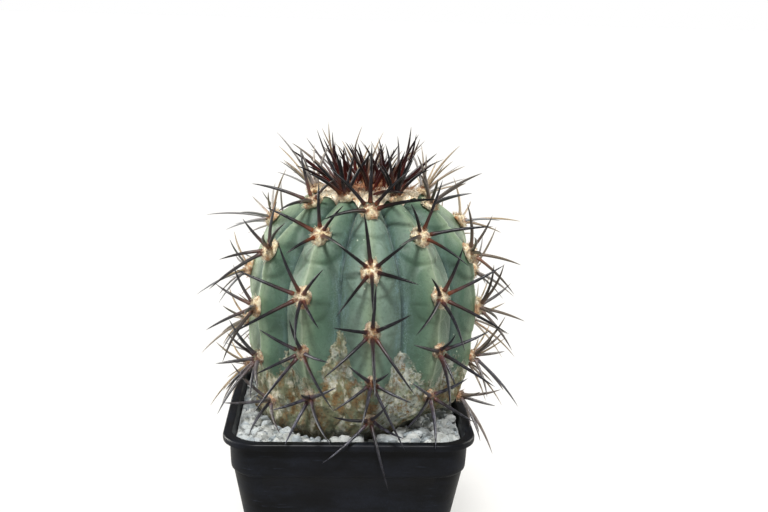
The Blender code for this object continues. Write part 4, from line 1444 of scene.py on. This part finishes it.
def makeStones():
    rng = random.Random(seed)
    shapeRng = random.Random(seed + 3)
    heap = Heap("tint")
    shapes = {levels: makeStoneShape(levels) for levels in (1, 2, 3)}
    half, corner = pumice["half"], pumice["cornerRadius"]
    inside = bodyRadiusAt(-pumice["topDepth"]) + pumice["footGap"]
    rim = barrel["rimHeight"]
    placed = []

    def anySpot(draw, size):
        edge = half - pumice["inset"] * size
        return draw.uniform(-edge, edge), draw.uniform(-edge, edge)

    def fits(x, y, size, middleRadius, shift=0.0):
        past = math.hypot(max(0, abs(x) - half + corner), max(0, abs(y) - half + corner))
        away = math.hypot(x - barrel["leanStart"] - shift, y)
        return past <= corner - pumice["inset"] * size and away >= middleRadius + size

    while len(placed) < pumice["stoneCount"]:  # the CAD's larger stones, in its own order of draws
        size = rng.uniform(*pumice["stoneRadius"])
        x, y = anySpot(rng, size)
        crowded = any(math.hypot(x - a, y - b) < pumice["apart"] * (size + c) for a, b, c in placed)
        level = len(placed) < pumice["stoneCount"] - pumice["stonesPiled"]
        if not fits(x, y, size, inside) or (crowded and level):
            continue
        placed.append((x, y, size))
        tall = rng.uniform(pumice["leastTall"], -pumice["slabTop"] - pumice["topDepth"])
        top = rim + pumice["slabTop"] + tall
        for _ in range(3):  # the CAD draws its stone's turn here
            rng.uniform(0, math.tau)
        addStone(heap, shapes[3], Vector((x, y, top - pumice["letIn"] * size)), size * pumice["stoneSwell"],
                 shapeRng, pumice["squash"])
    for count, levels, sizes, heights in pumice["chips"]:
        left = count
        while left:
            size = shapeRng.uniform(*sizes)
            x, y = anySpot(shapeRng, size)
            height = shapeRng.uniform(*heights)
            shift = footShift(height)
            reach = footRadius(x - barrel["leanStart"] - shift, y, height)
            if fits(x, y, pumice["chipInset"] * size, reach, shift):
                addStone(heap, shapes[levels], Vector((x, y, rim + height)), size, shapeRng,
                         pumice["chipSquash"])
                left -= 1
    return heap


def makePumiceMaterial():
    paint = Finish("white pumice chips", pumice["finish"], pumice["coats"])
    stone = paint.coat(paint.ramp(paint.mark("tint"), pumice["stones"]), "mottle")
    # the pits are sunk in the bump and painted darker as shade
    pits = paint.band(paint.cells(pumice["pitScale"]), *pumice["pitEdges"])
    shadedPits = paint.times(pits, paint.patches(*pumice["pitPatches"]))
    relief, hollowShade = paint.grain(*pumice["grain"])
    paint.wire("Base Color", paint.coat(paint.coat(stone, "pits", shadedPits), "hollowShade", hollowShade))
    paint.bump(paint.less(relief, shadedPits), *pumice["bump"])
    return paint.material


pumiceMaterial = makePumiceMaterial()
addPiece("pumice_bed", makePumiceBed(), pumiceMaterial, ["pumice"])
addPiece("pumice_stones", makeStones(), pumiceMaterial, ["pumice"], pumice["crisp"])
print("pumice laid")


# Pot

pot = {
    "lipThick": 2.5,
    "lipWidth": 3.4,
    "collarHalf": 42.7,
    "collarDepth": 13.0,
    "shoulderHalf": 41.4,
    "baseHalf": 30.3,
    "wall": 1.2,
    "wallSteps": 9,
    "cornerRadius": 12.8,
    "cornerSteps": 14,
    "sideSteps": 12,
    "drainRadius": 4.5,
    "drainOffset": 18.5,
    "drainSegments": 32,
    "crisp": 40,
    "finish": {"Specular IOR Level": 0.18},
    "roughness": (0.0, 0.16, 0.36, 0.6),  # from clean to dusty
    "grain": (160.0, 1700.0, 0.6),
    "bump": (0.12, 0.5),
    "blackNoise": (30.0, 3.0),
    "scuffStreaks": (0.07, 1.6, 900.0, 4.0, 0.7),
    "blacks": ((0.35, (9, 10, 11)), (0.65, (15, 16, 20))),
    # the dust is real, tinted bluish as a painted reflection of the bright surroundings
    "dust": (72, 80, 100),
    "dusty": (0.17, 46.0, 2.6),  # amount, scale and streaks
    "coats": {"scuffs": ((84, 92, 112), 1.0, (0.60, 0.74), (42.0, 0.46, 0.64, 0.0, 0.7))},
}


def roundedSquare(half, radius, height):  # corners and straight sides, evenly stepped
    points = []
    inner = half - radius
    for corner in range(4):
        start = math.radians(90 * corner)
        middle = math.radians(45 + 90 * corner)
        centre = Vector((math.cos(middle), math.sin(middle))) * inner * math.sqrt(2)
        for step in range(pot["cornerSteps"] + 1):
            angle = start + math.radians(90 * step / pot["cornerSteps"])
            points.append(centre + Vector((math.cos(angle), math.sin(angle))) * radius)
        end = points[-1]
        ahead = Vector((-math.sin(start + math.pi / 2), math.cos(start + math.pi / 2)))
        points += [end + ahead * 2 * inner * step / pot["sideSteps"] for step in range(1, pot["sideSteps"])]
    return [Vector((point.x, point.y, height)) for point in points]


def potSections():  # half width, corner radius and height, up the outside and down the inside
    top, step, wall = barrel["rimHeight"], barrel["rimHeight"] - pot["collarDepth"], pot["wall"]
    radius, outer = pot["cornerRadius"], pot["cornerRadius"] - 1.5
    base, lip, collar, shoulder = pot["baseHalf"], barrel["lipHalf"], pot["collarHalf"], pot["shoulderHalf"]
    under = top - pot["lipThick"]
    lipInner, inner = lip - pot["lipWidth"], collar - 0.5 - wall
    innerLow = base + (shoulder - base) * (step - 2) / step - wall
    floorHalf = base + (shoulder - base) * wall / step - wall
    foot = [(base - 0.8, outer - 0.8, 0), (base - 0.25, outer - 0.2, 0.25), (base, outer, 0.8)]
    steps = pot["wallSteps"]
    side = [(base + (shoulder - base) * i / steps, outer, 0.8 + (step - 1.6) * i / steps)
            for i in range(1, steps + 1)]
    neck = [(shoulder + 0.35, outer + 0.1, step - 0.5), (collar - 0.6, outer + 0.3, step - 0.1),
            (collar - 0.45, outer + 0.35, step + 0.5), (collar - 0.25, outer + 0.4, step + 4.0),
            (collar - 0.1, outer + 0.45, step + 8.0), (collar, outer + 0.5, under - 0.6),
            (collar + 0.15, outer + 0.6, under - 0.15), (collar + 0.5, outer + 0.8, under)]
    rolled = [(lip - 0.35, radius - 0.1, under), (lip - 0.08, radius, under + 0.12),
              (lip, radius, under + 0.45), (lip, radius, top - 0.8), (lip - 0.12, radius - 0.05, top - 0.38),
              (lip - 0.4, radius - 0.2, top - 0.1), (lip - 0.8, radius - 0.4, top),
              (lipInner + 0.6, radius - 1.7, top), (lipInner + 0.2, radius - 1.9, top - 0.12),
              (lipInner, radius - 2.0, top - 0.5)]
    inside = [(inner, outer - 0.9, step + 0.4), (inner - 0.2, outer - 1.0, step),
              (innerLow, outer - wall, step - 1.0), (floorHalf, outer - wall, wall + 0.6),
              (floorHalf - 0.4, outer - wall - 0.3, wall + 0.3)]
    return foot + side + neck + rolled + inside


def makePot():
    rings = [roundedSquare(*section) for section in potSections()]
    count = len(rings[0])
    bm = bmesh.new()
    verts = [bm.verts.new(point) for ring in rings for point in ring]
    for face in gridFaces(len(rings), count):
        bm.faces.new([verts[i] for i in face])
    bm.faces.new(verts[:count][::-1])
    bm.faces.new(verts[-count:])
    bmesh.ops.recalc_face_normals(bm, faces=bm.faces)
    return drilled(looseObject("shell", bm))


def looseObject(name, bm):
    mesh = bpy.data.meshes.new(name)
    bm.to_mesh(mesh)
    bm.free()
    made = bpy.data.objects.new(name, mesh)
    bpy.context.scene.collection.objects.link(made)
    return made


def drilled(body):  # cuts the four drain holes
    bm = bmesh.new()
    for across in (-1, 1):
        for along in (-1, 1):
            place = Matrix.Translation((across * pot["drainOffset"], along * pot["drainOffset"], 0))
            bmesh.ops.create_cone(bm, cap_ends=True, segments=pot["drainSegments"],
                                  radius1=pot["drainRadius"], radius2=pot["drainRadius"],
                                  depth=8 * pot["wall"], matrix=place)
    cutter = looseObject("drills", bm)
    cut = body.modifiers.new("drain", "BOOLEAN")
    cut.operation, cut.object, cut.solver = "DIFFERENCE", cutter, "EXACT"
    graph = bpy.context.evaluated_depsgraph_get()
    made = bpy.data.meshes.new_from_object(body.evaluated_get(graph))
    bpy.data.objects.remove(cutter, do_unlink=True)
    bpy.data.objects.remove(body, do_unlink=True)
    made.transform(Matrix.Scale(metres, 4))
    return made


def makePotMaterial():
    paint = Finish("dusty black plastic", pot["finish"], pot["coats"])
    black = paint.ramp(paint.noise(*pot["blackNoise"]), pot["blacks"])
    colour, film = paint.dusted(black, pot["dust"], *pot["dusty"])
    paint.wire("Base Color", paint.coat(colour, "scuffs", paint.streaks(*pot["scuffStreaks"])))
    paint.wire("Roughness", paint.band(film, *pot["roughness"]))
    paint.bump(paint.grain(*pot["grain"])[0], *pot["bump"])
    return paint.material


def addPot():
    mesh = makePot()
    mesh.name = "pot_shell"
    mesh.materials.clear()
    mesh.materials.append(makePotMaterial())
    mesh.shade_smooth()
    mesh.set_sharp_from_angle(angle=math.radians(pot["crisp"]))
    piece = bpy.data.objects.new("pot_shell", mesh)
    bpy.context.scene.collection.objects.link(piece)
    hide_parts("pot")
    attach(piece, "root")


addPot()
print("pot made")


# Soil, which keeps its CAD shape

soil = {
    "finish": {"Roughness": 0.95},
    "grain": (260.0, 1300.0, 0.5),
    "bump": (0.8, 1.0),
    "brownScale": 330.0,
    "gritScale": 330.0,
    "browns": ((0.3, (38, 28, 20)), (0.6, (74, 56, 40))),
    "coats": {
        "grit": ((190, 184, 170), 1.0, (0.3, 0.2), (200.0, 0.55, 0.62)),
        # painted shade in the hollows of the relief
        "hollowShade": ((22, 16, 12), 0.6, None, None),
    },
}


def makeSoilMaterial():
    paint = Finish("dark potting mix", soil["finish"], soil["coats"])
    brown = paint.ramp(paint.noise(soil["brownScale"]), soil["browns"])
    brown = paint.coat(brown, "grit", paint.cells(soil["gritScale"]))
    relief, hollowShade = paint.grain(*soil["grain"])
    paint.wire("Base Color", paint.coat(brown, "hollowShade", hollowShade))
    paint.bump(relief, *soil["bump"])
    return paint.material


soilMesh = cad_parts["soil"]
soilMaterial = makeSoilMaterial()
if not soilMesh.material_slots:
    soilMesh.data.materials.append(soilMaterial)
for holder in soilMesh.material_slots:
    holder.material = soilMaterial
print("soil coloured")


# Camera, light and floor

studio = {
    "turn": 3.2,  # degrees the camera looks to the right, down and rolled
    "tilt": 12.79,
    "roll": 1.55,
    "place": (-9.37, -390.96, 226.13),
    "focal": 1067.0,  # in pixels of a frame this wide
    "frameWidth": 768,
    "sensorWidth": 36.0,
    "nearest": 10.0,
    "floorSize": 60000.0,
    "floorScale": 3.0,
    "floorTones": ((0.3, (155.5, 154.8, 153.3)), (0.7, (159.7, 158.9, 157.6))),
    "floorGlow": 1.5,  # seen by the camera alone
    "lamps": (  # where each soft lamp stands, its width in degrees, power and colour
        ("key", (-0.06, -0.56, 0.83), 11.0, 3.65, (1.0, 0.995, 0.98)),
        ("fill", (0.25, -0.92, 0.30), 60.0, 0.3, (1.0, 0.995, 0.98)),
        ("left rim", (-0.88, 0.42, 0.26), 30.0, 3.2, (1.0, 0.99, 0.92)),
        ("right rim", (0.84, 0.42, 0.34), 36.0, 1.8, (1.0, 0.98, 0.92))),
    "skySeen": 1.0,  # how bright the backdrop looks
    "sky": 0.16,  # how much it lights the plant
}


def addCamera():
    turn, tilt, roll = (math.radians(studio[name]) for name in ("turn", "tilt", "roll"))
    ahead = Vector((math.sin(turn) * math.cos(tilt), math.cos(turn) * math.cos(tilt), -math.sin(tilt)))
    right = Vector((math.cos(turn), -math.sin(turn), 0))
    above = right.cross(ahead)
    across = right * math.cos(roll) + above * math.sin(roll)
    upward = -right * math.sin(roll) + above * math.cos(roll)
    matrix = Matrix((across, upward, -ahead)).transposed().to_4x4()
    matrix.translation = Vector(studio["place"]) * metres
    data = bpy.data.cameras.new("camera")
    data.sensor_width = studio["sensorWidth"]
    data.lens = studio["focal"] / studio["frameWidth"] * studio["sensorWidth"]
    data.clip_start = studio["nearest"] * metres
    camera = bpy.data.objects.new("camera", data)
    camera.matrix_world = matrix
    bpy.context.scene.collection.objects.link(camera)
    bpy.context.scene.camera = camera


def addLamp(name, place, width, power, colour):
    data = bpy.data.lights.new(name, "SUN")
    data.energy, data.color = power, colour
    data.angle = math.radians(width)
    lamp = bpy.data.objects.new(name, data)
    lamp.rotation_euler = (-Vector(place)).to_track_quat("-Z", "Y").to_euler()
    bpy.context.scene.collection.objects.link(lamp)


def addFloor():
    half = studio["floorSize"] * metres / 2
    bm = bmesh.new()
    bm.faces.new([bm.verts.new((x * half, y * half, 0)) for x, y in ((-1, -1), (1, -1), (1, 1), (-1, 1))])
    floor = looseObject("floor", bm)
    paint = Finish("pale floor", {"Roughness": 0.9})
    tint = paint.ramp(paint.noise(studio["floorScale"]), studio["floorTones"])
    paint.wire("Base Color", tint)
    paint.wire("Emission Color", tint)
    seen = addNode(paint.tree, "LightPath").outputs["Is Camera Ray"]
    paint.wire("Emission Strength", paint.times(seen, studio["floorGlow"]))
    floor.data.materials.append(paint.material)


def addSky():
    world = bpy.data.worlds.new("studio")
    world.use_nodes = True
    tree = world.node_tree
    seen = addNode(tree, "LightPath").outputs["Is Camera Ray"]
    level = addNode(tree, "MapRange", {0: seen, 3: studio["sky"], 4: studio["skySeen"]}).outputs[0]
    tree.nodes["Background"].inputs["Color"].default_value = (1.0, 1.0, 1.0, 1.0)
    tree.links.new(level, tree.nodes["Background"].inputs["Strength"])
    bpy.context.scene.world = world


addCamera()
addFloor()
addSky()
for lamp in studio["lamps"]:
    addLamp(*lamp)
bpy.context.scene.view_settings.view_transform = "Standard"
print("studio ready")
